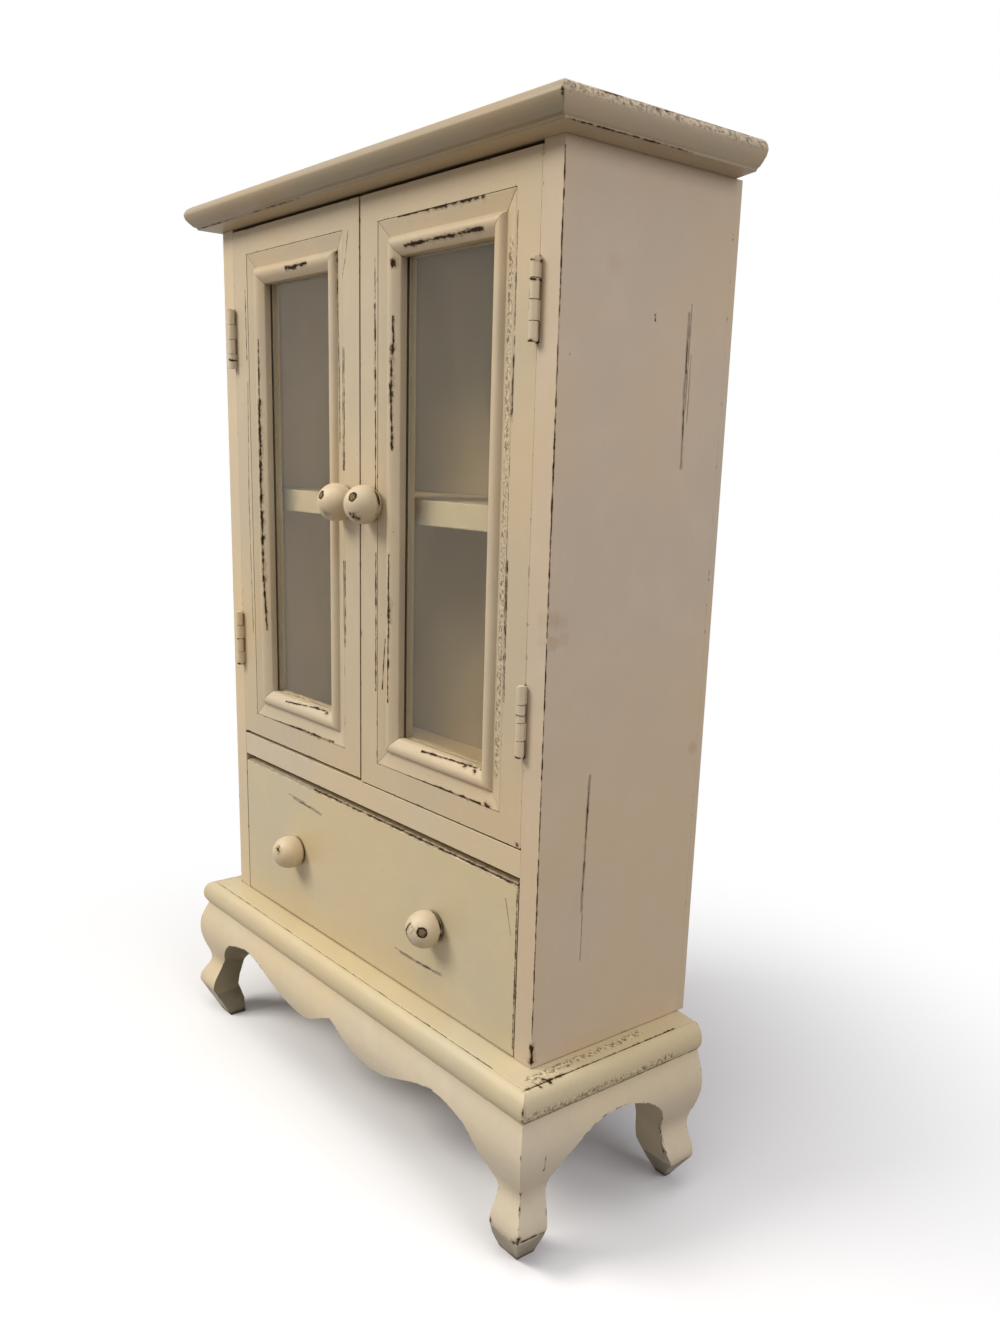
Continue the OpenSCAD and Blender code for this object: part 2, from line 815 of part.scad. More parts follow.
top_board();
side_panel_left();
side_panel_right();
back_panel();
shelf();
drawer_divider();
door_stop();
plinth_board();
front_apron();
side_apron_left();
side_apron_right();
back_rail();
foot_front_left();
foot_front_right();
foot_back_left();
foot_back_right();
cabinet_hinge_leaves();
hinge_pins();
cabinet_hinge_screws();
door_left_hinge_stile();
door_left_meeting_stile();
door_left_top_rail();
door_left_bottom_rail();
door_left_moulding();
door_left_glass();
door_left_glazing_beads();
door_left_hinge_leaves();
door_left_hinge_screws();
door_left_knob();
door_left_knob_screw();
door_right_hinge_stile();
door_right_meeting_stile();
door_right_top_rail();
door_right_bottom_rail();
door_right_moulding();
door_right_glass();
door_right_glazing_beads();
door_right_hinge_leaves();
door_right_hinge_screws();
door_right_knob();
door_right_knob_screw();
drawer_front();
drawer_side_left();
drawer_side_right();
drawer_back();
drawer_bottom();
drawer_knob_left();
drawer_knob_right();
drawer_knob_screws();
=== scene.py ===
import math

import bpy
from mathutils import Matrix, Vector


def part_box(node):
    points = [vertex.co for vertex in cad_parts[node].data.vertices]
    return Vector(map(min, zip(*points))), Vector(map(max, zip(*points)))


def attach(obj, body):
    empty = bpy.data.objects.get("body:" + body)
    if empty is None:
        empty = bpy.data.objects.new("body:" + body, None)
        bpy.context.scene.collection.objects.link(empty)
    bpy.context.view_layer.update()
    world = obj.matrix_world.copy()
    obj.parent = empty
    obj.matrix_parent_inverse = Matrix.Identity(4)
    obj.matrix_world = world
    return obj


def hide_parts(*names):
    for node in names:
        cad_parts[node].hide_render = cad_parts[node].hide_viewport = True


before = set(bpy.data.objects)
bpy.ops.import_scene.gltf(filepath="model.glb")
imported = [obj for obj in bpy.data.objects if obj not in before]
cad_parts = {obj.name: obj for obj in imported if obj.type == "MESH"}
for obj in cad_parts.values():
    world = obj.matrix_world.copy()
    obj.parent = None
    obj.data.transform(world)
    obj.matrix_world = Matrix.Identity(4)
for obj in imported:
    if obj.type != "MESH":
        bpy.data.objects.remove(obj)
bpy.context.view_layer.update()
scene = bpy.context.scene
MM = 0.001

# Camera: where the photographer stood, to the right of the cabinet and at
# about two thirds of its height, turned towards its middle.
camera_data = bpy.data.cameras.new("camera")
camera_data.sensor_width = 36.0
camera_data.lens = 30.766
camera_data.shift_x = -0.0094
camera_data.shift_y = 0.0577
camera_data.clip_start = 0.01
camera = bpy.data.objects.new("camera", camera_data)
scene.collection.objects.link(camera)
camera.location = (0.39072, -0.27375, 0.28170)
camera.rotation_euler = (1.327175, -0.030175, 0.886720)
scene.camera = camera
scene.view_settings.view_transform = "Standard"

# Studio: one large soft window lamp high on the left in front, a ceiling, and
# the even light of a pale room, which is also what the panes mirror.
world = bpy.data.worlds.new("studio")
scene.world = world
world.use_nodes = True
sky = world.node_tree
sky.nodes.clear()
sky_out = sky.nodes.new("ShaderNodeOutputWorld")
room = sky.nodes.new("ShaderNodeBackground")
room.inputs["Color"].default_value = (0.95, 0.93, 0.96, 1)
room.inputs["Strength"].default_value = 0.27
white = sky.nodes.new("ShaderNodeBackground")
white.inputs["Color"].default_value = (1, 1, 1, 1)
white.inputs["Strength"].default_value = 1.0
sky_mix = sky.nodes.new("ShaderNodeMixShader")


def seen_directly(tree):
    """1 for what the camera sees, by itself or in a pane, and 0 for what only lights the cabinet."""
    path = tree.nodes.new("ShaderNodeLightPath")
    total = path.outputs["Is Camera Ray"]
    for kind in ("Is Glossy Ray", "Is Transmission Ray"):
        either = tree.nodes.new("ShaderNodeMath")
        either.operation = "MAXIMUM"
        tree.links.new(total, either.inputs[0])
        tree.links.new(path.outputs[kind], either.inputs[1])
        total = either.outputs[0]
    return total


sky.links.new(seen_directly(sky), sky_mix.inputs[0])
sky.links.new(room.outputs[0], sky_mix.inputs[1])
sky.links.new(white.outputs[0], sky_mix.inputs[2])
sky.links.new(sky_mix.outputs[0], sky_out.inputs[0])


def soft_lamp(name, place, aim, width, height, power, tint):
    """A rectangular softbox of width by height metres."""
    data = bpy.data.lights.new(name, "AREA")
    data.shape = "RECTANGLE"
    data.size = width
    data.size_y = height
    data.energy = power
    data.color = tint
    lamp = bpy.data.objects.new(name, data)
    scene.collection.objects.link(lamp)
    lamp.location = place
    lamp.rotation_euler = (Vector(aim) - Vector(place)).to_track_quat("-Z", "Y").to_euler()


soft_lamp("window", (-0.66, -1.15, 1.28), (0, 0, 0.12), 0.75, 0.65, 22.0, (1.0, 0.96, 0.90))
soft_lamp("ceiling", (0.25, -0.35, 1.45), (0.05, 0, 0.1), 1.0, 1.0, 8.0, (1.0, 0.98, 0.97))
soft_lamp("far_wall", (1.45, 0.0, 1.0), (0, 0, 0.2), 0.9, 0.9, 9.5, (0.95, 0.93, 1.0))

# Floor: a pale sheet that keeps the cabinet's shadow and fades into the white
# round it. What it throws back at the cabinet is a little less than it shows.
bpy.ops.object.select_all(action="DESELECT")
bpy.ops.mesh.primitive_plane_add(size=8.0, location=(0, 0, 0))
floor = bpy.context.object
floor.name = "studio_floor"
floor_paint = bpy.data.materials.new("studio_floor")
floor_paint.use_nodes = True
ft = floor_paint.node_tree
ft.nodes.clear()
floor_out = ft.nodes.new("ShaderNodeOutputMaterial")
shown = ft.nodes.new("ShaderNodeBsdfDiffuse")
shown.inputs["Color"].default_value = (0.93, 0.93, 0.93, 1)
thrown = ft.nodes.new("ShaderNodeBsdfDiffuse")
thrown.inputs["Color"].default_value = (0.26, 0.24, 0.22, 1)
glow = ft.nodes.new("ShaderNodeEmission")
glow.inputs["Color"].default_value = (1, 1, 1, 1)
glow.inputs["Strength"].default_value = 1.0
floor_where = ft.nodes.new("ShaderNodeTexCoord")
away = ft.nodes.new("ShaderNodeVectorMath")
away.operation = "LENGTH"
ft.links.new(floor_where.outputs["Object"], away.inputs[0])
fade = ft.nodes.new("ShaderNodeMapRange")
fade.interpolation_type = "SMOOTHSTEP"
fade.inputs["From Min"].default_value = 0.10
fade.inputs["From Max"].default_value = 0.36
ft.links.new(away.outputs["Value"], fade.inputs["Value"])
to_white = ft.nodes.new("ShaderNodeMixShader")
ft.links.new(fade.outputs[0], to_white.inputs[0])
ft.links.new(shown.outputs[0], to_white.inputs[1])
ft.links.new(glow.outputs[0], to_white.inputs[2])
seen = ft.nodes.new("ShaderNodeMixShader")
ft.links.new(seen_directly(ft), seen.inputs[0])
ft.links.new(thrown.outputs[0], seen.inputs[1])
ft.links.new(to_white.outputs[0], seen.inputs[2])
ft.links.new(seen.outputs[0], floor_out.inputs[0])
floor.data.materials.append(floor_paint)


# Top board: one softwood board with a moulded edge on the front and both ends.
# Like all the outside it is dark wood brushed with cream paint, which has come
# off at the arrises; its creases are darkened with grime and painted shade.
def only(piece):
    """Makes piece the one selected and active object."""
    bpy.ops.object.select_all(action="DESELECT")
    piece.select_set(True)
    bpy.context.view_layer.objects.active = piece


def apply_modifier(piece, kind, **values):
    modifier = piece.modifiers.new(kind.lower(), kind)
    for key, value in values.items():
        setattr(modifier, key, value)
    only(piece)
    bpy.ops.object.modifier_apply(modifier=modifier.name)


def merged_copy(node, name):
    """A copy of a frame piece as one skin with whole flat faces."""
    piece = bpy.data.objects.new(name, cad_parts[node].data.copy())
    scene.collection.objects.link(piece)
    only(piece)
    bpy.ops.object.mode_set(mode="EDIT")
    bpy.ops.mesh.select_all(action="SELECT")
    bpy.ops.mesh.remove_doubles(threshold=2e-6)
    bpy.ops.mesh.dissolve_limited(angle_limit=math.radians(0.4))
    bpy.ops.object.mode_set(mode="OBJECT")
    return piece


def worked(nodes, name, body, finish, arris=0.5, segments=2, angle=40.0, reshape=None):
    """The pieces named, glued to one where there are several, reshaped point by point
    where that is asked, with their arrises rounded by arris mm, finished and hung on their body."""
    piece = merged_copy(nodes[0], name)
    for node in nodes[1:]:
        other = merged_copy(node, node + "_part")
        apply_modifier(piece, "BOOLEAN", operation="UNION", solver="EXACT", object=other)
        bpy.data.objects.remove(other)
    if len(nodes) > 1:
        only(piece)
        bpy.ops.object.mode_set(mode="EDIT")
        bpy.ops.mesh.select_all(action="SELECT")
        bpy.ops.mesh.remove_doubles(threshold=5e-6)
        bpy.ops.mesh.dissolve_limited(angle_limit=math.radians(0.6))
        bpy.ops.object.mode_set(mode="OBJECT")
    if reshape:
        for point in piece.data.vertices:
            point.co = reshape(point.co)
    if arris > 0:
        apply_modifier(piece, "BEVEL", width=arris * MM, segments=segments, limit_method="ANGLE",
                       angle_limit=math.radians(angle), miter_outer="MITER_ARC")
    only(piece)
    bpy.ops.object.shade_smooth_by_angle(angle=math.radians(angle - 2))
    apply_modifier(piece, "WEIGHTED_NORMAL", keep_sharp=True)
    piece.data.materials.clear()
    for coat in finish if isinstance(finish, list) else [finish]:
        piece.data.materials.append(coat)
    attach(piece, body)
    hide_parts(*nodes)
    return piece


def math_node(tree, operation, a, b=None, c=None, clamp=False):
    node = tree.nodes.new("ShaderNodeMath")
    node.operation = operation
    node.use_clamp = clamp
    for index, value in enumerate((a, b, c)):
        if isinstance(value, (int, float)):
            node.inputs[index].default_value = value
        elif value is not None:
            tree.links.new(value, node.inputs[index])
    return node.outputs[0]


def range_node(tree, value, low, high, to_low=0.0, to_high=1.0, kind="SMOOTHSTEP"):
    node = tree.nodes.new("ShaderNodeMapRange")
    node.interpolation_type = kind
    node.inputs["From Min"].default_value = low
    node.inputs["From Max"].default_value = high
    node.inputs["To Min"].default_value = to_low
    node.inputs["To Max"].default_value = to_high
    tree.links.new(value, node.inputs["Value"])
    return node.outputs[0]


def vector_node(tree, operation, a, b=None):
    node = tree.nodes.new("ShaderNodeVectorMath")
    node.operation = operation
    for index, value in enumerate((a, b)):
        if isinstance(value, (tuple, Vector)):
            node.inputs[index].default_value = value
        elif value is not None:
            tree.links.new(value, node.inputs[index])
    return node.outputs["Value"] if operation in ("DISTANCE", "DOT_PRODUCT", "LENGTH") else node.outputs[0]


def noise_node(tree, where, size_mm, detail=3.0, rough=0.55, stretch=(1, 1, 1)):
    """Noise with blots of about size_mm, longer along the axes where stretch is below 1."""
    node = tree.nodes.new("ShaderNodeTexNoise")
    node.inputs["Scale"].default_value = 1.0 / (size_mm * MM)
    node.inputs["Detail"].default_value = detail
    node.inputs["Roughness"].default_value = rough
    if stretch != (1, 1, 1):
        where = vector_node(tree, "MULTIPLY", where, stretch)
    tree.links.new(where, node.inputs["Vector"])
    return node.outputs[0]


def mix_node(tree, factor, a, b, blend="MIX"):
    node = tree.nodes.new("ShaderNodeMix")
    node.data_type = "RGBA"
    node.blend_type = blend
    for index, value in ((0, factor), (6, a), (7, b)):
        if isinstance(value, (tuple, int, float)):
            node.inputs[index].default_value = value
        else:
            tree.links.new(value, node.inputs[index])
    return node.outputs[2]


def times(colour, r, g=None, b=None):
    g = r if g is None else g
    b = r if b is None else b
    return (min(1, colour[0] * r), min(1, colour[1] * g), min(1, colour[2] * b), 1)


def line_gap(tree, where, points):
    """How far a place is from the nearest stretch of a line through points (mm)."""
    least = None
    for start, end in zip(points, points[1:]):
        a = Vector(start) * MM
        run = Vector(end) * MM - a
        off = vector_node(tree, "SUBTRACT", where, a)
        share = math_node(tree, "MULTIPLY", vector_node(tree, "DOT_PRODUCT", off, run / run.length_squared),
                          1.0, clamp=True)
        step = tree.nodes.new("ShaderNodeVectorMath")
        step.operation = "SCALE"
        step.inputs[0].default_value = run
        tree.links.new(share, step.inputs["Scale"])
        gap = vector_node(tree, "DISTANCE", off, step.outputs[0])
        least = gap if least is None else math_node(tree, "MINIMUM", least, gap)
    return least


def joined(tree, x, y, z):
    node = tree.nodes.new("ShaderNodeCombineXYZ")
    for index, value in enumerate((x, y, z)):
        tree.links.new(value, node.inputs[index])
    return node.outputs[0]


def depth_below(tree, coordinate, inwards, start):
    """How far a place is behind the marked skin, which ends at start mm, and 0 in the skin itself."""
    depth = math_node(tree, "MULTIPLY_ADD", coordinate, inwards, -inwards * start * MM)
    return math_node(tree, "MAXIMUM", depth, 0.0)


def on(face, *marks):
    """Marks on one face: (points, width in mm), and for a stain (place or points, radius, strength)."""
    return [(face, *mark) for mark in marks]


def lay_flat(points, face):
    """Points given on the front (x, z) or on a side (y, z) as places in that flat."""
    if face == "front":
        return [(p[0], 0.0, p[1]) for p in points]
    if face == "side":
        return [(0.0, p[0], p[1]) for p in points]
    return points


CREAM = (0.600, 0.498, 0.342, 1)
DARK_WOOD = (0.038, 0.022, 0.011, 1)
RUST_STAIN = (0.40, 0.25, 0.11, 1)
GRIME_AND_SHADE = (0.155, 0.100, 0.050, 1)
SEAM_SHADE_COLOUR = (0.030, 0.019, 0.010, 1)
MARKED_FRONT_Y, MARKED_SIDE_X = -29.0, 111.0  # marks reach from the outer faces as deep as this


def cream_paint(name, grain=(1, 1, 0.06), tone=CREAM, chips=0.5, dirt=0.55, bits=0.35, worn_below=None,
                cracks=(), rough_bands=(), stains=(), flakes=(), scratches=(), streaks=0.30, seam_shade=1.0,
                own_creases=False):
    """Cream brush paint over dark wood. grain draws the brush marks out along a board;
    chips and bits are how much is chipped and specked, and dirt how strongly the creases
    are darkened, with grime and painted shade; worn_below is how high (mm) a foot is
    scuffed; cracks are marks where the paint has gone; rough_bands where it dried in
    crumbs; stains are brown washes, yellowed paint on the sides and painted shade on the
    top board's front; flakes are (place, radius) where a round flake came off; scratches
    are like cracks, but only rubbed; streaks is how strong the brush marks are and
    seam_shade how dark the deepest creases and gaps are painted, as painted shade;
    own_creases leaves out the creases with other pieces."""
    paint = bpy.data.materials.new(name)
    paint.use_nodes = True
    tree = paint.node_tree
    shader = tree.nodes["Principled BSDF"]
    where = tree.nodes.new("ShaderNodeTexCoord").outputs["Object"]
    flat = {"all": where}
    faces = {mark[0] for mark in [*cracks, *rough_bands, *stains, *scratches]}
    if "front" in faces or "side" in faces:
        parts = tree.nodes.new("ShaderNodeSeparateXYZ")
        tree.links.new(where, parts.inputs[0])
        from_front = depth_below(tree, parts.outputs["Y"], 1.0, MARKED_FRONT_Y)
        from_side = depth_below(tree, parts.outputs["X"], -1.0, MARKED_SIDE_X)
        flat["front"] = joined(tree, parts.outputs["X"], from_front, parts.outputs["Z"])
        flat["side"] = joined(tree, from_side, parts.outputs["Y"], parts.outputs["Z"])
    cloud = noise_node(tree, where, 95.0, 2.0)
    patch = noise_node(tree, where, 22.0, 4.0, 0.6)
    brush = noise_node(tree, where, 1.5, 3.0, 0.6, grain)
    crumb = noise_node(tree, where, 1.35, 3.0, 0.7)
    torn = noise_node(tree, where, 1.1, 4.0, 0.7, tuple(0.30 if g < 0.5 else 1.0 for g in grain))
    ragged = range_node(tree, torn, 0.30, 0.70, -1.0, 1.0, "LINEAR")
    yellowed, greyed = times(tone, 1.04, 1.0, 0.92), times(tone, 0.95, 0.97, 1.02)
    colour = mix_node(tree, range_node(tree, cloud, 0.36, 0.64), yellowed, greyed)
    pale = range_node(tree, patch, 0.42, 0.72, 0.0, 0.55)
    colour = mix_node(tree, pale, colour, times(tone, 1.07, 1.08, 1.10))
    furrows = range_node(tree, brush, 0.45, 0.80, 0.0, streaks)
    colour = mix_node(tree, furrows, colour, times(tone, 0.86, 0.84, 0.80))
    for face, place, radius, strength in stains:
        if isinstance(place, list):
            gap = line_gap(tree, flat[face], lay_flat(place, face))
        else:
            gap = vector_node(tree, "DISTANCE", flat[face], Vector(lay_flat([place], face)[0]) * MM)
        gap = math_node(tree, "MULTIPLY_ADD", ragged, 0.6 * MM, gap)
        spot = range_node(tree, gap, radius * MM, radius * 0.35 * MM, 0.0, strength)
        colour = mix_node(tree, spot, colour, RUST_STAIN)
    # Creases and gaps within 2 mm of other surfaces are darkened, partly grime and partly painted shade; the
    # deepest go near black as painted shade.
    crease = tree.nodes.new("ShaderNodeAmbientOcclusion")
    crease.samples = 5
    crease.only_local = own_creases
    crease.inputs["Distance"].default_value = 2.0 * MM
    open_air = math_node(tree, "MULTIPLY_ADD", patch, 0.25, crease.outputs["AO"])
    colour = mix_node(tree, range_node(tree, open_air, 0.74, 0.46, 0.0, dirt), colour, GRIME_AND_SHADE)
    colour = mix_node(tree, range_node(tree, open_air, 0.42, 0.24, 0.0, seam_shade), colour, SEAM_SHADE_COLOUR)
    arris = tree.nodes.new("ShaderNodeAmbientOcclusion")
    arris.samples = 5
    arris.inside = True
    arris.only_local = True
    arris.inputs["Distance"].default_value = 0.9 * MM
    edge = range_node(tree, arris.outputs["AO"], 0.80, 0.55)
    chipped = noise_node(tree, where, 5.5, 4.0, 0.75)
    lost = range_node(tree, chipped, 0.66 - 0.16 * chips, 0.69 - 0.15 * chips)
    bare = math_node(tree, "MULTIPLY", edge, lost)
    few = math_node(tree, "MULTIPLY", range_node(tree, noise_node(tree, where, 1.6, 1.0, 0.5), 0.775, 0.79),
                    range_node(tree, patch, 0.50, 0.60, 0.0, bits))
    bare = math_node(tree, "MAXIMUM", bare, few)
    if worn_below:
        height = tree.nodes.new("ShaderNodeSeparateXYZ")
        tree.links.new(where, height.inputs[0])
        low = math_node(tree, "MULTIPLY_ADD", patch, -6.0 * MM, height.outputs["Z"])
        low = math_node(tree, "MULTIPLY_ADD", ragged, 0.5 * MM, math_node(tree, "ADD", low, 3.0 * MM))
        scuffed = range_node(tree, low, worn_below * MM, (worn_below - 0.7) * MM, 0.0, 0.85)
        blotch = range_node(tree, patch, 0.40, 0.62)
        sole = mix_node(tree, blotch, (0.305, 0.262, 0.172, 1), (0.190, 0.150, 0.090, 1))
        colour = mix_node(tree, scuffed, colour, sole)
        bare = math_node(tree, "MAXIMUM", bare, range_node(tree, low, 2.4 * MM, 0.8 * MM, 0.0, 0.75))
    crumbs = None
    for face, points, width in rough_bands:
        gap = line_gap(tree, flat[face], lay_flat(points, face))
        gap = math_node(tree, "MULTIPLY_ADD", ragged, 0.25 * width * MM, gap)
        band = range_node(tree, gap, 0.75 * width * MM, 0.35 * width * MM)
        crumbs = band if crumbs is None else math_node(tree, "MAXIMUM", crumbs, band)
    if crumbs is not None:
        # In the crumb bands the pits are darkened, partly grime and partly painted shade, and the tops are
        # lightened and cooled as painted highlight.
        crumb_pits_grime_and_shade = math_node(tree, "MULTIPLY", crumbs, range_node(tree, crumb, 0.51, 0.41, 0.0, 0.92))
        crumb_tops_highlight = math_node(tree, "MULTIPLY", crumbs, range_node(tree, crumb, 0.54, 0.64, 0.0, 0.85))
        colour = mix_node(tree, crumb_pits_grime_and_shade, colour, (0.125, 0.085, 0.045, 1))
        colour = mix_node(tree, crumb_tops_highlight, colour, times(tone, 1.28, 1.30, 1.36))
    core = None
    for face, points, width in cracks:
        gap = line_gap(tree, flat[face], lay_flat(points, face))
        gap = math_node(tree, "MULTIPLY", gap, 1.0 / (width * MM))
        core = gap if core is None else math_node(tree, "MINIMUM", core, gap)
    if core is not None:
        vary = range_node(tree, noise_node(tree, where, 3.6, 3.0, 0.65), 0.35, 0.65, -0.40, 0.60, "LINEAR")
        core = math_node(tree, "ADD", math_node(tree, "MULTIPLY_ADD", ragged, 0.62, core), vary)
        lips = range_node(tree, core, 2.0, 0.7, 0.0, 0.55)
        colour = mix_node(tree, lips, colour, (0.235, 0.160, 0.085, 1))
        bare = math_node(tree, "MAXIMUM", bare, range_node(tree, core, 0.85, 0.50))
        core = range_node(tree, core, 0.45, 0.10)
    for face, points, width in scratches:
        gap = line_gap(tree, flat[face], lay_flat(points, face))
        gap = math_node(tree, "MULTIPLY_ADD", ragged, 0.5 * width * MM, gap)
        rubbed = range_node(tree, gap, 1.3 * width * MM, 0.1 * width * MM, 0.0, 0.75)
        colour = mix_node(tree, rubbed, colour, (0.150, 0.100, 0.055, 1))
    wood = mix_node(tree, brush, DARK_WOOD, (0.115, 0.068, 0.034, 1))
    colour = mix_node(tree, bare, colour, wood)
    if core is not None:
        colour = mix_node(tree, core, colour, (0.020, 0.012, 0.006, 1))
    for place, radius in flakes:
        gap = vector_node(tree, "DISTANCE", where, Vector(place) * MM)
        gap = math_node(tree, "MULTIPLY", gap, 1.0 / (radius * MM))
        gap = math_node(tree, "MULTIPLY_ADD", ragged, 0.22, gap)
        hole = range_node(tree, gap, 1.0, 0.86)
        rim = range_node(tree, gap, 0.50, 0.72)
        bed = mix_node(tree, rim, (0.200, 0.135, 0.065, 1), (0.014, 0.010, 0.006, 1))
        colour = mix_node(tree, hole, colour, bed)
        bare = math_node(tree, "MAXIMUM", bare, hole)
    tree.links.new(colour, shader.inputs["Base Color"])
    dull = range_node(tree, patch, 0.3, 0.7, 0.40, 0.55, "LINEAR")
    tree.links.new(math_node(tree, "MULTIPLY_ADD", bare, 0.30, dull), shader.inputs["Roughness"])
    gleam = range_node(tree, bare, 0.0, 1.0, 0.5, 0.12, "LINEAR")
    tree.links.new(gleam, shader.inputs["Specular IOR Level"])
    height = math_node(tree, "MULTIPLY_ADD", patch, 1.2, math_node(tree, "MULTIPLY", brush, 0.30))
    height = math_node(tree, "MULTIPLY_ADD", bare, -0.8, height)
    if crumbs is not None:
        height = math_node(tree, "MULTIPLY_ADD", math_node(tree, "MULTIPLY", crumbs, crumb), 2.2, height)
    bump = tree.nodes.new("ShaderNodeBump")
    bump.inputs["Strength"].default_value = 0.6
    bump.inputs["Distance"].default_value = 0.25 * MM
    tree.links.new(height, bump.inputs["Height"])
    tree.links.new(bump.outputs[0], shader.inputs["Normal"])
    return paint


# Painted shade: the whole board's cream is darker than the cream elsewhere.
top_paint = cream_paint(
    "top_board_paint", grain=(0.06, 1, 1), tone=times(CREAM, 0.80, 0.77, 0.74), chips=0.9, dirt=0.8,
    rough_bands=on("all", ([(125.6, -41, 384.8), (125.6, 12, 385.2), (125.6, 44, 384.6)], 4.6)),
    cracks=on("all", ([(126.2, -44.2, 384.5), (126, -44.2, 381)], 0.8),
              ([(126, -44, 378), (125.6, -43.6, 376.4)], 0.8),
              ([(122.2, -38, 376.4), (122.3, -8, 376.5), (122.3, 14, 376.5)], 0.33),
              ([(125, -44, 385.4), (121, -44, 385.5)], 0.9),
              ([(125.4, -28, 384.6), (125.2, -20, 385.3)], 0.8),
              ([(125.6, -6, 384.2), (125, 2, 385.2)], 0.7),
              ([(125, -14, 385.4), (125.2, 14, 385.4), (125, 36, 385.2)], 0.5)))
# Faces turned to the front get a much darker copy, with broad brown washes along the front nose, as painted
# shade.
top_front_shaded_paint = cream_paint(
    "top_board_front_shaded_paint", grain=(0.06, 1, 1), tone=times(CREAM, 0.50, 0.475, 0.42), chips=0.7, dirt=0.8,
    stains=on("all", ([(-128, -44, 381), (-50, -44, 381)], 30, 0.24), ((96, -46, 383), 24, 0.16)),
    cracks=on("all", ([(-118, -39.9, 376.6), (-30, -39.9, 376.6)], 0.28),
              ([(126.2, -44.2, 384.5), (126, -44.2, 381)], 0.8),
              ([(125, -44, 385.4), (121, -44, 385.5)], 0.9)))
top_piece = worked(["top_board"], "top_board_painted", "cabinet", [top_paint, top_front_shaded_paint],
                   0.35)
# Faces turned to the front take the painted-shade copy.
for face in top_piece.data.polygons:
    face.material_index = 1 if face.normal.y < -0.25 else 0

# Side panels: plain boards that stand on the plinth board and carry the top,
# glued and nailed. Long scratches and a few rubbed stains mark the right one.
right_paint = cream_paint(
    "side_panel_right_paint", grain=(1, 1, 0.05), tone=times(CREAM, 0.96, 0.93, 0.96), chips=0.45, bits=0.25,
    streaks=0.10,
    scratches=on("side", ([(26.3, 331), (26.2, 306), (26.9, 281)], 0.75),
                 ([(27.3, 334), (27.2, 300)], 0.35), ([(-9.3, 176), (-9.9, 150), (-10.3, 126)], 0.7),
                 ([(-9.7, 125), (-9.8, 107)], 0.35), ([(28.4, 318), (28.4, 296)], 0.3)),
    cracks=on("side", ([(26.2, 322), (26.4, 312)], 0.28), ([(26.5, 300), (26.7, 291)], 0.3),
              ([(-9.5, 170), (-9.9, 150), (-10.2, 134)], 0.26), ([(10, 329), (10.2, 327.3)], 0.42))
           + on("all", ([(114, -31.5, 372), (114, -31.5, 300), (114, -31.5, 226)], 0.34),
              ([(114, -31.5, 224), (114, -31.5, 140), (114, -31.5, 82)], 0.3),
              ([(114, -31.3, 79), (114.1, -31.3, 73)], 1.3)),
    stains=on("side", ((-29, 231.5), 4.2, 0.3), ((-25, 230.6), 3.4, 0.22), ((-29, 224), 3.6, 0.34),
              ((-24, 225), 3.4, 0.22), ((43, 179), 3.4, 0.34), ((-9, 342), 5, 0.14)))
left_paint = cream_paint(
    "side_panel_left_paint", grain=(1, 1, 0.05), tone=times(CREAM, 1.07, 1.03, 0.95), chips=0.5, bits=0.4,
    streaks=0.16,
    scratches=on("all", ([(-114, -12, 300), (-114, -12.6, 268)], 0.5),
                 ([(-114, 21, 158), (-114, 20.4, 131)], 0.6)),
    cracks=on("all", ([(-114, 20.8, 152), (-114, 20.5, 138)], 0.24),
              ([(-114, -30.9, 330), (-114, -30.9, 236)], 0.3),
              ([(-114, -30.9, 150), (-114, -30.9, 96)], 0.3)),
    stains=on("all", ((-114, 30, 345), 5, 0.2), ((-114, -6, 92), 6, 0.2)))
worked(["side_panel_left"], "side_panel_left_painted", "cabinet", left_paint, 0.4)
worked(["side_panel_right"], "side_panel_right_painted", "cabinet", right_paint, 0.4)

# Drawer divider: the softwood rail between the doors and the drawer, housed in
# the side panels and painted outside.
rail_paint = cream_paint("divider_paint", grain=(0.05, 1, 1), chips=0.4)
worked(["drawer_divider"], "drawer_divider_painted", "cabinet", rail_paint, 0.25)

# Paint fillings: coats of paint have run into the slit on the hinge side of each
# door and into the seam under the drawer, and have dried there in a ridge.
def paint_filling(name, low, high, cuts, finish):
    """A ridge of dried paint between two corners (mm), cut across cuts times, uneven and rounded."""
    bpy.ops.object.select_all(action="DESELECT")
    middle = [(a + b) / 2 * MM for a, b in zip(low, high)]
    bpy.ops.mesh.primitive_cube_add(size=1.0, location=middle)
    ridge = bpy.context.object
    ridge.name = name
    ridge.scale = [(b - a) * MM for a, b in zip(low, high)]
    bpy.ops.object.transform_apply(location=True, rotation=True, scale=True)
    along = max(range(3), key=lambda axis: high[axis] - low[axis])
    for step in range(1, cuts):
        place = [v * MM for v in low]
        place[along] += (high[along] - low[along]) * MM * step / cuts
        bpy.ops.object.mode_set(mode="EDIT")
        bpy.ops.mesh.select_all(action="SELECT")
        bpy.ops.mesh.bisect(plane_co=place, plane_no=[1.0 if axis == along else 0.0 for axis in range(3)])
        bpy.ops.object.mode_set(mode="OBJECT")
    for index, point in enumerate(ridge.data.vertices):
        if point.co.y < middle[1]:
            point.co.y += (0.05 + 0.05 * math.sin(3.1 * index)) * MM
    apply_modifier(ridge, "BEVEL", width=0.06 * MM, segments=2, limit_method="ANGLE",
                   angle_limit=math.radians(40))
    bpy.ops.object.shade_smooth_by_angle(angle=math.radians(50))
    ridge.data.materials.append(finish)
    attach(ridge, "cabinet")


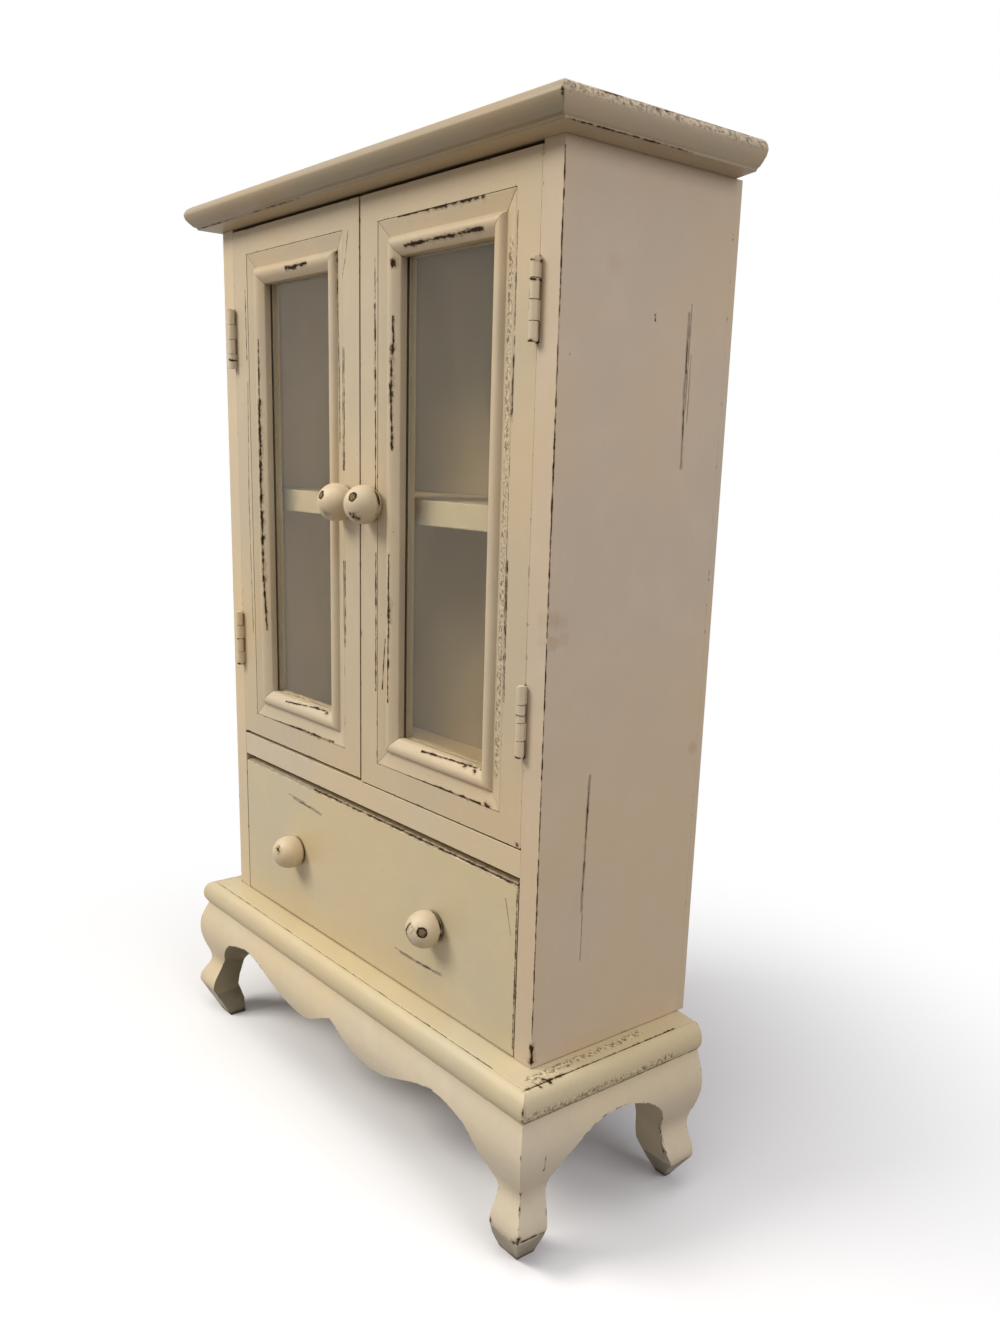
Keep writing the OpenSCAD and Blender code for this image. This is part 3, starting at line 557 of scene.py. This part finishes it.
filling_paint = cream_paint("filling_paint", grain=(1, 1, 1), chips=0.0, bits=0.1, dirt=0.15)
door_low, door_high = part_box("door_right_hinge_stile")
panel_low, panel_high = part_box("side_panel_right")
slit = (door_high[0] / MM + 0.04, panel_low[0] / MM)
front = door_low[1] / MM
hinge_ends = (183.0, 184.5, 207.5, 209.0, 317.0, 318.5, 341.5, 343.0)
heights = (door_low[2] / MM + 0.3, *hinge_ends, door_high[2] / MM - 0.3)
stretches = tuple(zip(heights[::2], heights[1::2]))
for number, (low_z, high_z) in enumerate(stretches):
    for side, flip in (("right", 1), ("left", -1)):
        across = sorted((slit[0] * flip, slit[1] * flip))
        paint_filling("slit_filling_%s_%d" % (side, number + 1), (across[0], front + 0.02, low_z),
                      (across[1], front + 1.6, high_z), 9, filling_paint)
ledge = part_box("plinth_board")[1][2] / MM
drawer_low, drawer_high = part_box("drawer_front")
paint_filling("drawer_seam_filling", (drawer_low[0] / MM + 0.4, front + 0.25, ledge),
              (drawer_high[0] / MM - 0.4, front + 1.8, drawer_low[2] / MM - 0.1), 24, filling_paint)

# Shelf and door stop: softwood strips glued between the side panels. Their
# cream is darker and greyer than outside, as painted shade inside the case.
INSIDE_SHADED_CREAM = (0.47, 0.415, 0.325, 1)
inside_paint = cream_paint("inside_paint", grain=(0.05, 1, 1), tone=INSIDE_SHADED_CREAM, chips=0.2, dirt=0.35,
                           bits=0.1)
worked(["shelf"], "shelf_painted", "cabinet", inside_paint, 0.5)
worked(["door_stop"], "door_stop_painted", "cabinet", inside_paint, 0.4)

# Back panel: a thin pressed board nailed on behind, painted on its inner face and
# edges, and left brown and slightly hairy on the outside, as such boards are.
def pressed_board(name, tone):
    """Unpainted pressed fibre board, cloudy and hairy."""
    board = bpy.data.materials.new(name)
    board.use_nodes = True
    tree = board.node_tree
    shader = tree.nodes["Principled BSDF"]
    where = tree.nodes.new("ShaderNodeTexCoord").outputs["Object"]
    cloud = noise_node(tree, where, 60.0, 4.0, 0.6)
    hair = noise_node(tree, where, 1.2, 3.0, 0.7)
    dark, light = times(tone, 0.86), times(tone, 1.12, 1.10, 1.06)
    colour = mix_node(tree, range_node(tree, cloud, 0.35, 0.65), dark, light)
    hairs = range_node(tree, hair, 0.46, 0.72, 0.0, 0.45)
    colour = mix_node(tree, hairs, colour, times(tone, 0.58, 0.54, 0.50))
    scuffs = range_node(tree, noise_node(tree, where, 9.0, 5.0, 0.75), 0.62, 0.72, 0.0, 0.35)
    colour = mix_node(tree, scuffs, colour, times(tone, 1.5, 1.45, 1.35))
    tree.links.new(colour, shader.inputs["Base Color"])
    tree.links.new(range_node(tree, cloud, 0.3, 0.7, 0.62, 0.78, "LINEAR"), shader.inputs["Roughness"])
    bump = tree.nodes.new("ShaderNodeBump")
    bump.inputs["Strength"].default_value = 0.45
    bump.inputs["Distance"].default_value = 0.15 * MM
    tree.links.new(hair, bump.inputs["Height"])
    tree.links.new(bump.outputs[0], shader.inputs["Normal"])
    return board


panel_low, panel_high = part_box("back_panel")
NAIL_IN, NAIL_HEAD, NAIL_SINK = 4.5, 1.1, 0.35
nail_places = []
for share in range(7):
    height = panel_low[2] + NAIL_IN * MM + (panel_high[2] - panel_low[2] - 2 * NAIL_IN * MM) * share / 6
    nail_places += [(panel_low[0] + NAIL_IN * MM, height), (panel_high[0] - NAIL_IN * MM, height)]
for share in range(1, 5):
    across = panel_low[0] + (panel_high[0] - panel_low[0]) * share / 5
    nail_places += [(across, panel_low[2] + NAIL_IN * MM), (across, panel_high[2] - NAIL_IN * MM)]


def discs(name, places, radius, low_y, high_y):
    """Short round plugs that stand across the back, all in one mesh (mm)."""
    bpy.ops.object.select_all(action="DESELECT")
    made = []
    for x, z in places:
        middle = (x, (low_y + high_y) / 2 * MM, z)
        bpy.ops.mesh.primitive_cylinder_add(vertices=20, radius=radius * MM, depth=(high_y - low_y) * MM,
                                            location=middle, rotation=(math.pi / 2, 0, 0))
        made.append(bpy.context.object)
    for disc in made:
        disc.select_set(True)
    bpy.ops.object.join()
    piece = bpy.context.object
    piece.name = name
    bpy.ops.object.transform_apply(location=True, rotation=True, scale=True)
    return piece


board_paint = pressed_board("pressed_board", (0.285, 0.178, 0.098, 1))
# The inner face's cream is much darker than outside, as painted shade inside the case.
inner_board_shaded_paint = cream_paint(
    "back_inner_shaded_paint", grain=(1, 1, 0.3), tone=(0.36, 0.31, 0.235, 1), chips=0.0, bits=0.2)
back_piece = worked(["back_panel"], "back_panel_board", "cabinet",
                    [inner_board_shaded_paint, right_paint, board_paint], 0.2)
back_y = panel_high[1] / MM
sinks = discs("nail_sinks", nail_places, NAIL_HEAD + 0.35, back_y - NAIL_SINK, back_y + 1)
apply_modifier(back_piece, "BOOLEAN", operation="DIFFERENCE", solver="EXACT", object=sinks)
bpy.data.objects.remove(sinks)
for face in back_piece.data.polygons:
    edge = abs(face.normal.x) > 0.5 and abs(face.center.x) > panel_high[0] - 1.0 * MM
    face.material_index = 1 if edge else 0 if face.normal.y < -0.5 else 2

# Back nails: small wire nails along the edges of the back panel, with their
# heads driven just under its surface.
nail_steel = bpy.data.materials.new("nail_steel")
nail_steel.use_nodes = True
tree = nail_steel.node_tree
shader = tree.nodes["Principled BSDF"]
shader.inputs["Metallic"].default_value = 1.0
rust = noise_node(tree, tree.nodes.new("ShaderNodeTexCoord").outputs["Object"], 0.9, 4.0, 0.7)
rusty = range_node(tree, rust, 0.42, 0.60)
nail_colour = mix_node(tree, rusty, (0.42, 0.40, 0.37, 1), (0.16, 0.085, 0.045, 1))
tree.links.new(nail_colour, shader.inputs["Base Color"])
tree.links.new(range_node(tree, rust, 0.35, 0.65, 0.35, 0.75), shader.inputs["Roughness"])
nails = discs("back_nails", nail_places, NAIL_HEAD, back_y - 2.2, back_y - 0.06)
apply_modifier(nails, "BEVEL", width=0.25 * MM, segments=2, limit_method="ANGLE",
               angle_limit=math.radians(40))
bpy.ops.object.shade_smooth_by_angle(angle=math.radians(40))
nails.data.materials.append(nail_steel)
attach(nails, "cabinet")

# Plinth board: a thick board whose front and sides have a scored groove and a
# bead. The paint on its sides dried rough.
plinth_paint = cream_paint(
    "plinth_paint", grain=(0.06, 1, 1), tone=times(CREAM, 0.95, 0.97, 0.89), chips=0.5, dirt=0.75,
    rough_bands=on("all", ([(127, -44, 61.2), (127, 0, 61), (127, 30, 61.2)], 3.6),
                   ([(118.5, -36, 70.4), (117.5, 20, 70.4)], 2.8)),
    cracks=on("all", ([(127.2, -45.8, 67.2), (127.3, -45.9, 63.8)], 0.8),
              ([(122.4, -40.5, 69.2), (122.4, -24, 69.3)], 0.75),
              ([(122.4, -24, 69.3), (122.4, 34, 69.3)], 0.36),
              ([(121, -31.5, 70.2), (123.6, -30.5, 69.6)], 0.8),
              ([(120, -36, 70.2), (124, -35, 69.4)], 0.5),
              ([(-121, -41.2, 69.2), (0, -41.2, 69.2), (104, -41.2, 69.2)], 0.24),
              ([(126, -43.5, 59.2), (126, 0, 59.2), (126, 44, 59.2)], 0.4)))
worked(["plinth_board"], "plinth_board_painted", "cabinet", plinth_paint, 0.25)

# Base: the scrolled front apron and the arched side aprons, glued between four
# short curved feet that are bowed at the knee, turned out at the toe and worn to
# the wood round their bevelled soles. All are painted over as one.
TOE_TOP, TOE_BASE, LIFT, KNEE = 9.0, 10.5, 5.1, 37.0
SOLE_MIDDLE_X, FRONT_SOLE_Y, REAR_SOLE_Y = 118.6, -38.0, 40.0
# How far a sole's inner side, outer side, edge to the cabinet's middle and other edge move (mm).
FRONT_SOLE, REAR_SOLE = (4.6, 0.8, 3.6, -0.4), (2.6, 3.2, 2.0, 0.0)


def lift_toes(place):
    """Raises the toes and ankles a little, so that the bevel under each toe is as high
    as on the real feet, and rounds the soles out. What is above KNEE mm stays."""
    x, y, height = place.x / MM, place.y / MM, place.z / MM
    if height < TOE_TOP:
        height *= (TOE_TOP + LIFT) / TOE_TOP
        round_out = 1 - (height / (TOE_TOP + LIFT)) ** 2
        inner_x, outer_x, middle_y, end_y = FRONT_SOLE if y < 0 else REAR_SOLE
        to_middle = y > FRONT_SOLE_Y if y < 0 else y < REAR_SOLE_Y
        x -= math.copysign(inner_x if abs(x) < SOLE_MIDDLE_X else outer_x, x) * round_out
        y += (middle_y if to_middle else end_y) * round_out
    elif height < KNEE:
        share = max(0.0, height - TOE_BASE) / (KNEE - TOE_BASE)
        height += LIFT * (1 - share ** 3) ** 2
    return Vector((x, y, height)) * MM


# The base's cream is painted a little lighter than the cabinet's above it, as painted light on the lower
# part.
base_paint = cream_paint(
    "base_paint", grain=(0.3, 0.3, 0.3), tone=times(CREAM, 1.08, 1.10, 1.11), chips=0.7, dirt=0.65,
    worn_below=14.2,
    cracks=on("all", ([(126.6, -45.3, 46.5), (126.4, -45, 43)], 0.5),
              ([(126, -44.6, 42), (125.4, -44, 37)], 1.1),
              ([(125.2, -43.8, 36), (125.4, -44.2, 27), (127.4, -46.2, 19)], 0.4),
              ([(129.4, -48.1, 15.6), (129.5, -40, 15), (129.4, -34.8, 14.6)], 0.55),
              ([(127, -48.2, 14.2), (129.5, -48.3, 15.2)], 1),
              ([(129.2, -48.1, 14), (129.6, -48.1, 17.4)], 0.9),
              ([(114, -48.4, 14.6), (114.4, -48.4, 16)], 0.8), ([(129, -36, 45), (128.2, -36, 39)], 0.32),
              ([(112, 29.5, 44), (118, 29.4, 43.6), (126, 28.2, 43)], 0.5),
              ([(125.2, 27.2, 40), (124.6, 27.5, 30), (127, 28.2, 20)], 0.45)))
# Faces of the feet turned inwards get a much darker copy of the paint, as painted shade under the cabinet.
inner_foot_shaded_paint = cream_paint(
    "inner_foot_shaded_paint", grain=(0.3, 0.3, 0.3), tone=times(CREAM, 0.50, 0.52, 0.48), chips=0.4, dirt=0.6,
    worn_below=13.0)
base_nodes = ["front_apron", "foot_front_left", "foot_front_right", "side_apron_left", "side_apron_right",
              "foot_back_left", "foot_back_right"]
base_piece = worked(base_nodes, "base_painted", "cabinet", [base_paint, inner_foot_shaded_paint],
                    0.4, angle=27.0, reshape=lift_toes)
# Inward faces of the feet, under the cabinet, take the painted-shade copy.
for face in base_piece.data.polygons:
    inwards = -math.copysign(face.normal.x, face.center.x * face.normal.x)
    face.material_index = 1 if inwards > 0.5 and abs(face.center.x) > 96 * MM else 0


def bare_wood(name, along, tone, dirt=0.5):
    """Planed softwood left bare, with its grain along one axis (0, 1 or 2) and the grime of handling."""
    wood = bpy.data.materials.new(name)
    wood.use_nodes = True
    tree = wood.node_tree
    shader = tree.nodes["Principled BSDF"]
    where = tree.nodes.new("ShaderNodeTexCoord").outputs["Object"]
    run = tuple(0.035 if axis == along else 1.0 for axis in range(3))
    wide = noise_node(tree, where, 9.0, 2.0, 0.5, run)
    rings = math_node(tree, "SINE", math_node(tree, "MULTIPLY", wide, 58.0))
    fibre = noise_node(tree, where, 0.5, 3.0, 0.6, run)
    colour = mix_node(tree, range_node(tree, rings, -0.2, 1.0), tone, times(tone, 0.70, 0.60, 0.48))
    pores = range_node(tree, fibre, 0.50, 0.75, 0.0, 0.45)
    colour = mix_node(tree, pores, colour, times(tone, 0.50, 0.42, 0.34))
    stain = range_node(tree, noise_node(tree, where, 26.0, 5.0, 0.65), 0.48, 0.72, 0.0, dirt)
    colour = mix_node(tree, stain, colour, times(tone, 0.40, 0.36, 0.32))
    # Darker in corners and creases within 4 mm, as painted shade.
    crease = tree.nodes.new("ShaderNodeAmbientOcclusion")
    crease.samples = 5
    crease.inputs["Distance"].default_value = 4.0 * MM
    corners = range_node(tree, crease.outputs["AO"], 0.75, 0.30, 0.0, 0.6)
    colour = mix_node(tree, corners, colour, times(tone, 0.22, 0.19, 0.16))
    tree.links.new(colour, shader.inputs["Base Color"])
    tree.links.new(range_node(tree, fibre, 0.3, 0.7, 0.55, 0.75), shader.inputs["Roughness"])
    bump = tree.nodes.new("ShaderNodeBump")
    bump.inputs["Strength"].default_value = 0.4
    bump.inputs["Distance"].default_value = 0.12 * MM
    tree.links.new(math_node(tree, "MULTIPLY_ADD", rings, 0.3, fibre), bump.inputs["Height"])
    tree.links.new(bump.outputs[0], shader.inputs["Normal"])
    return wood


PINE = (0.560, 0.400, 0.225, 1)
rail_wood = bare_wood("rail_wood", 0, times(PINE, 0.72))
worked(["back_rail"], "back_rail_wood", "cabinet", rail_wood, 0.5)

# Door frames: stiles and rails halved together and painted over, so that no
# joint shows. The left door hangs a hair higher than the right.
DOOR_CREAM = times(CREAM, 0.93, 0.905, 0.87)
right_marks = on("front", ([(-0.2, 212.2), (-0.2, 210.6)], 0.9), ([(102.2, 152.2), (102.5, 151.6)], 0.7),
                 ([(16.7, 330), (16.8, 314)], 0.25), ([(10.5, 352), (10.6, 338)], 0.3),
                 ([(10.6, 336), (10.9, 320), (11, 300)], 0.65), ([(11, 298), (11.2, 265)], 0.35),
                 ([(11.4, 245), (11.5, 220), (11.4, 191)], 0.45), ([(92.8, 357), (92.8, 322)], 0.26),
                 ([(92.8, 320), (92.7, 294)], 0.42), ([(92.6, 249), (92.7, 201)], 0.32))
left_marks = on("front", ([(-8.2, 363.8), (-10.5, 353.5), (-13.5, 345), (-13, 325)], 0.22),
                ([(-94, 350), (-93.7, 321)], 0.28), ([(-93.4, 312), (-95.1, 260), (-94, 200)], 0.22),
                ([(-11.6, 322), (-11.7, 276)], 0.28), ([(-11.6, 240), (-11.5, 205)], 0.3))
for side, marks in (("left", left_marks), ("right", right_marks)):
    body = "door_" + side
    frame_paint = cream_paint(body + "_frame_paint", grain=(1, 1, 0.06), tone=DOOR_CREAM, chips=0.45,
                              cracks=marks, streaks=0.2, seam_shade=0.6)
    worked([body + "_" + part for part in ("hinge_stile", "meeting_stile", "top_rail", "bottom_rail")],
           body + "_frame_painted", body, frame_paint, 0.3)

# Mouldings: mitred strips let in round each pane, a hollow and a bead, with the
# paint cracked along both creases and dried in crumbs down the outer one.
right_marks = on("front", ([(25.6, 364), (39.2, 364)], 0.3),
                 ([(39.2, 364.1), (53.9, 364), (72, 363.8)], 0.85), ([(74.4, 363.8), (75.1, 363.7)], 1.1),
                 ([(30, 354), (45.4, 354.1), (75.1, 354)], 0.7),
                 ([(10.6, 336), (10.9, 320), (11, 300)], 0.85),
                 ([(11, 300), (11, 286), (11.2, 265)], 0.4),
                 ([(11.4, 245), (11.5, 220), (11.4, 191)], 0.5), ([(16.6, 212), (15.2, 192)], 0.3),
                 ([(22.9, 349.4), (22.9, 348.4)], 1.1), ([(22.8, 331), (23, 322)], 0.45),
                 ([(22.8, 321), (22.3, 309), (22.2, 301)], 0.9), ([(22.3, 301), (22.8, 284)], 0.5),
                 ([(21.5, 245), (21.4, 229)], 0.5), ([(21.4, 229), (21.5, 219)], 0.95),
                 ([(21.5, 219), (21.2, 188)], 0.5), ([(92.6, 357), (92.6, 320)], 0.3),
                 ([(92.6, 320), (92.2, 294)], 0.55), ([(92.2, 294), (91.9, 249)], 0.25),
                 ([(91.9, 249), (92.1, 201)], 0.42),
                 ([(20.5, 160.3), (62.5, 161.2), (80.8, 161.3)], 0.42),
                 ([(84.2, 161.6), (85.8, 161.2)], 1), ([(42.8, 172.4), (62.2, 173), (79, 173.4)], 0.36),
                 ([(69.6, 172.9), (70.8, 172.8)], 0.8), ([(76, 172.6), (76.6, 172.3)], 0.8))
left_marks = on("front", ([(-65.9, 364.9), (-44.9, 364.9), (-20.7, 365.1)], 0.45),
                ([(-56, 355), (-48, 355.1), (-38.7, 355.3)], 0.85),
                ([(-18.3, 359.7), (-18.1, 340), (-17.6, 326)], 0.4),
                ([(-17.5, 325), (-17, 310), (-16.5, 287)], 0.6),
                ([(-12.6, 322), (-12.9, 295), (-12.8, 276)], 0.28), ([(-12.8, 240), (-12.6, 205)], 0.3),
                ([(-81.9, 329), (-82.1, 304)], 0.35), ([(-82.1, 304), (-82.3, 261), (-81.8, 225)], 0.85),
                ([(-81.8, 225), (-80.9, 203)], 0.5), ([(-76, 161.6), (-50, 162.3), (-22, 162.4)], 0.45),
                ([(-64, 172.6), (-40, 174), (-30, 174.2)], 0.36), ([(-29.6, 173.7), (-28.8, 173.6)], 1))
# The glazing beads take the same darker inside cream, as painted shade behind the panes.
bead_paint = cream_paint("glazing_bead_paint", tone=INSIDE_SHADED_CREAM, chips=0.2, dirt=0.3, own_creases=True)


def strip_at(corners, x, z):
    """Which of the four mitred strips of the moulding between two corners a place is on (metres)."""
    low, high = corners
    away = {"west": x - low[0], "east": high[0] - x, "low": z - low[2], "top": high[2] - z}
    return min(away, key=away.get)


for side, marks in (("left", left_marks), ("right", right_marks)):
    body = "door_" + side
    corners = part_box(body + "_moulding")
    strips = {"low": [], "top": [], "west": [], "east": []}
    for mark in marks:
        (x0, z0), (x1, z1) = mark[1][0], mark[1][-1]
        strips[strip_at(corners, (x0 + x1) / 2 * MM, (z0 + z1) / 2 * MM)].append(mark)
    coats = []
    for strip, strip_marks in strips.items():
        bands = []
        if side == "right" and strip == "east":
            bands = on("front", ([(89.2, 348), (89.4, 275), (89.2, 200), (89, 175)], 3))
        run = (1, 1, 0.3) if strip in ("west", "east") else (0.3, 1, 1)
        coats.append(cream_paint(
            body + "_moulding_" + strip, grain=run, tone=DOOR_CREAM, chips=0.3, dirt=0.55, seam_shade=0.3,
            cracks=strip_marks, rough_bands=bands, own_creases=True))
    piece = worked([body + "_moulding"], body + "_moulding_painted", body, coats, 0.12, 1, 50)
    for face in piece.data.polygons:
        face.material_index = list(strips).index(strip_at(corners, face.center.x, face.center.z))
    beads = body + "_glazing_beads"
    worked([beads], beads + "_painted", body, bead_paint, 0.3, 1)

# Panes: thin window glass, filmed with the dust of years, its rough edges bedded in
# pale putty between the moulding and the beads.
putty = bpy.data.materials.new("pane_putty")
putty.use_nodes = True
tree = putty.node_tree
shader = tree.nodes["Principled BSDF"]
shader.inputs["Roughness"].default_value = 0.85
where = tree.nodes.new("ShaderNodeTexCoord").outputs["Object"]
lumps = noise_node(tree, where, 2.5, 4.0, 0.65)
putty_colour = mix_node(tree, lumps, (0.50, 0.44, 0.33, 1), (0.66, 0.59, 0.45, 1))
tree.links.new(putty_colour, shader.inputs["Base Color"])
rise = tree.nodes.new("ShaderNodeBump")
rise.inputs["Distance"].default_value = 0.15 * MM
tree.links.new(lumps, rise.inputs["Height"])
tree.links.new(rise.outputs[0], shader.inputs["Normal"])
pane = bpy.data.materials.new("pane_glass")
pane.use_nodes = True
tree = pane.node_tree
shader = tree.nodes["Principled BSDF"]
shader.inputs["Base Color"].default_value = (0.80, 0.76, 0.66, 1)
shader.inputs["IOR"].default_value = 1.27
shader.inputs["Transmission Weight"].default_value = 1.0
where = tree.nodes.new("ShaderNodeTexCoord").outputs["Object"]
film = noise_node(tree, where, 30.0, 3.0, 0.6, (1, 1, 0.4))
tree.links.new(range_node(tree, film, 0.35, 0.7, 0.015, 0.05), shader.inputs["Roughness"])
dust = tree.nodes.new("ShaderNodeBsdfDiffuse")
dust.inputs["Color"].default_value = (0.46, 0.42, 0.32, 1)
glaze = tree.nodes.new("ShaderNodeMixShader")
tree.links.new(range_node(tree, film, 0.30, 0.70, 0.02, 0.06), glaze.inputs[0])
tree.links.new(shader.outputs[0], glaze.inputs[1])
tree.links.new(dust.outputs[0], glaze.inputs[2])
lamp_ray = tree.nodes.new("ShaderNodeLightPath")
clear = tree.nodes.new("ShaderNodeBsdfTransparent")
clear.inputs["Color"].default_value = (0.82, 0.78, 0.68, 1)
through = tree.nodes.new("ShaderNodeMixShader")
tree.links.new(lamp_ray.outputs["Is Shadow Ray"], through.inputs[0])
tree.links.new(glaze.outputs[0], through.inputs[1])
tree.links.new(clear.outputs[0], through.inputs[2])
tree.links.new(through.outputs[0], tree.nodes["Material Output"].inputs["Surface"])
for side in ("left", "right"):
    body = "door_" + side
    sheet = worked([body + "_glass"], body + "_pane", body, [pane, putty], 0.2, 1)
    for face in sheet.data.polygons:
        face.material_index = 0 if abs(face.normal.y) > 0.9 else 1

# Hinges: small pressed steel butts on loose pins, let into the doors and the side
# panels, screwed on and painted over with them.
hinge_paint = cream_paint(
    "hinge_paint", grain=(1, 1, 1), chips=0.15, dirt=0.30, bits=0.2, seam_shade=0.35, own_creases=True,
    cracks=on("front", ([(103, 342), (102.2, 339)], 0.5), ([(103.6, 341.4), (105.2, 341.2)], 0.45),
              ([(102.8, 336), (105.4, 335.6)], 0.3), ([(103.4, 333), (103.3, 327)], 0.26),
              ([(102.8, 326), (102.7, 318)], 0.45), ([(102.8, 318), (105.2, 317.7)], 0.6),
              ([(102.6, 184.4), (105.4, 184)], 0.4), ([(102.8, 199), (105.6, 198.6)], 0.3),
              ([(-106, 322), (-102.6, 321)], 0.4), ([(-105, 184.5), (-103, 184)], 0.4)))
for node in ("cabinet_hinge_leaves", "hinge_pins"):
    worked([node], node + "_painted", "cabinet", hinge_paint, 0.3)
for side in ("left", "right"):
    node = "door_%s_hinge_leaves" % side
    worked([node], node + "_painted", "door_" + side, hinge_paint, 0.3)

# Knobs: turned wooden balls cut flat behind, dipped in the cream paint, which
# has chipped to the dark wood.
knob_paint = cream_paint(
    "knob_paint", grain=(1, 1, 1), chips=0.6, bits=0.0, dirt=0.5, streaks=0.1,
    cracks=on("all", ([(-5.4, -42.2, 268.4), (-4.6, -42, 267)], 0.55),
              ([(-8.6, -42.5, 260.2), (-7.4, -42.2, 258.5)], 1.2),
              ([(11.4, -42.8, 260.2), (13.4, -42.4, 260.2)], 0.9),
              ([(12.2, -42.4, 259.8), (13.6, -41.4, 258)], 1.2),
              ([(15, -33.8, 268.6), (16.6, -33.4, 265.6), (17.2, -33.2, 263)], 1),
              ([(17, -33.2, 261), (15.6, -33.2, 258.6), (14.2, -33.2, 257.8)], 1),
              ([(-52.4, -43, 107.8), (-51.4, -43.2, 106.6)], 1.3),
              ([(53.6, -42.9, 108.2), (52, -43.6, 104.5), (54.4, -43.4, 102)], 0.75),
              ([(55.2, -43.1, 107.6), (58.2, -42.4, 105.7)], 0.32),
              ([(55, -43.4, 104.4), (56.2, -43.2, 106.2)], 0.3),
              ([(55.6, -33.1, 110.9), (59.2, -33.3, 108.6), (60.6, -33.2, 104.8), (60.3, -34, 101.6)], 0.9)),
    flakes=[((59.4, -41.3, 106), 2.3), ((-9.9, -43.6, 266.4), 1.9), ((12.6, -42.9, 266.6), 2.1)])
for node, body in (("door_left_knob", "door_left"), ("door_right_knob", "door_right"),
                   ("drawer_knob_left", "drawer"), ("drawer_knob_right", "drawer")):
    worked([node], node + "_turned", body, knob_paint, 0.4)

# Drawer: a painted front with rounded arrises, glued and nailed on a plain box of
# bare pine with a pressed board for its bottom.
# The rubbed line and the crack along the whole top arris (z 136.9) and the crack down the right arris are
# painted shade of the gap round the drawer.
drawer_paint = cream_paint(
    "drawer_front_paint", grain=(0.05, 1, 1), tone=times(CREAM, 0.97, 0.98, 0.90), chips=0.4, streaks=0.15,
    scratches=on("front", ([(-58, 128.6), (-46, 128), (-33, 127.2)], 0.8),
                 ([(-62, 129.4), (-48, 128.9)], 0.35), ([(30, 84.9), (44, 85), (59, 85.7)], 0.8),
                 ([(26, 85.4), (38, 85.2)], 0.3), ([(-103, 136.9), (103, 136.9)], 0.8),
                 ([(97, 130), (100.5, 117)], 0.35)),
    cracks=on("front", ([(-52, 128.2), (-42, 127.8)], 0.32), ([(42, 85), (54, 85.4)], 0.32),
              ([(-40, 136.9), (60, 136.9), (103.2, 136.8)], 0.34),
              ([(103.3, 136), (103.4, 110), (103.4, 74)], 0.35)))
worked(["drawer_front"], "drawer_front_painted", "drawer", drawer_paint, 0.4)
side_wood = bare_wood("drawer_side_wood", 1, PINE)
worked(["drawer_side_left"], "drawer_side_left_wood", "drawer", side_wood, 0.4)
worked(["drawer_side_right"], "drawer_side_right_wood", "drawer", side_wood, 0.4)
back_wood = bare_wood("drawer_back_wood", 0, times(PINE, 0.94))
worked(["drawer_back"], "drawer_back_wood", "drawer", back_wood, 0.4)
bottom_board = pressed_board("drawer_bottom_board", (0.330, 0.215, 0.120, 1))
worked(["drawer_bottom"], "drawer_bottom_board", "drawer", bottom_board, 0.2)

# Screws: small zinc-plated wood screws that hold the hinges and the knobs, seen
# only when a door or the drawer is open.
steel = bpy.data.materials.new("screw_steel")
steel.use_nodes = True
tree = steel.node_tree
shader = tree.nodes["Principled BSDF"]
shader.inputs["Metallic"].default_value = 1.0
where = tree.nodes.new("ShaderNodeTexCoord").outputs["Object"]
tarnish = noise_node(tree, where, 0.8, 3.0)
steel_colour = mix_node(tree, tarnish, (0.60, 0.58, 0.53, 1), (0.33, 0.30, 0.25, 1))
tree.links.new(steel_colour, shader.inputs["Base Color"])
tree.links.new(range_node(tree, tarnish, 0.3, 0.7, 0.28, 0.55), shader.inputs["Roughness"])
for node in ("cabinet_hinge_screws", "door_left_hinge_screws", "door_right_hinge_screws",
             "door_left_knob_screw", "door_right_knob_screw", "drawer_knob_screws"):
    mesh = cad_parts[node].data
    mesh.materials.clear()
    mesh.materials.append(steel)
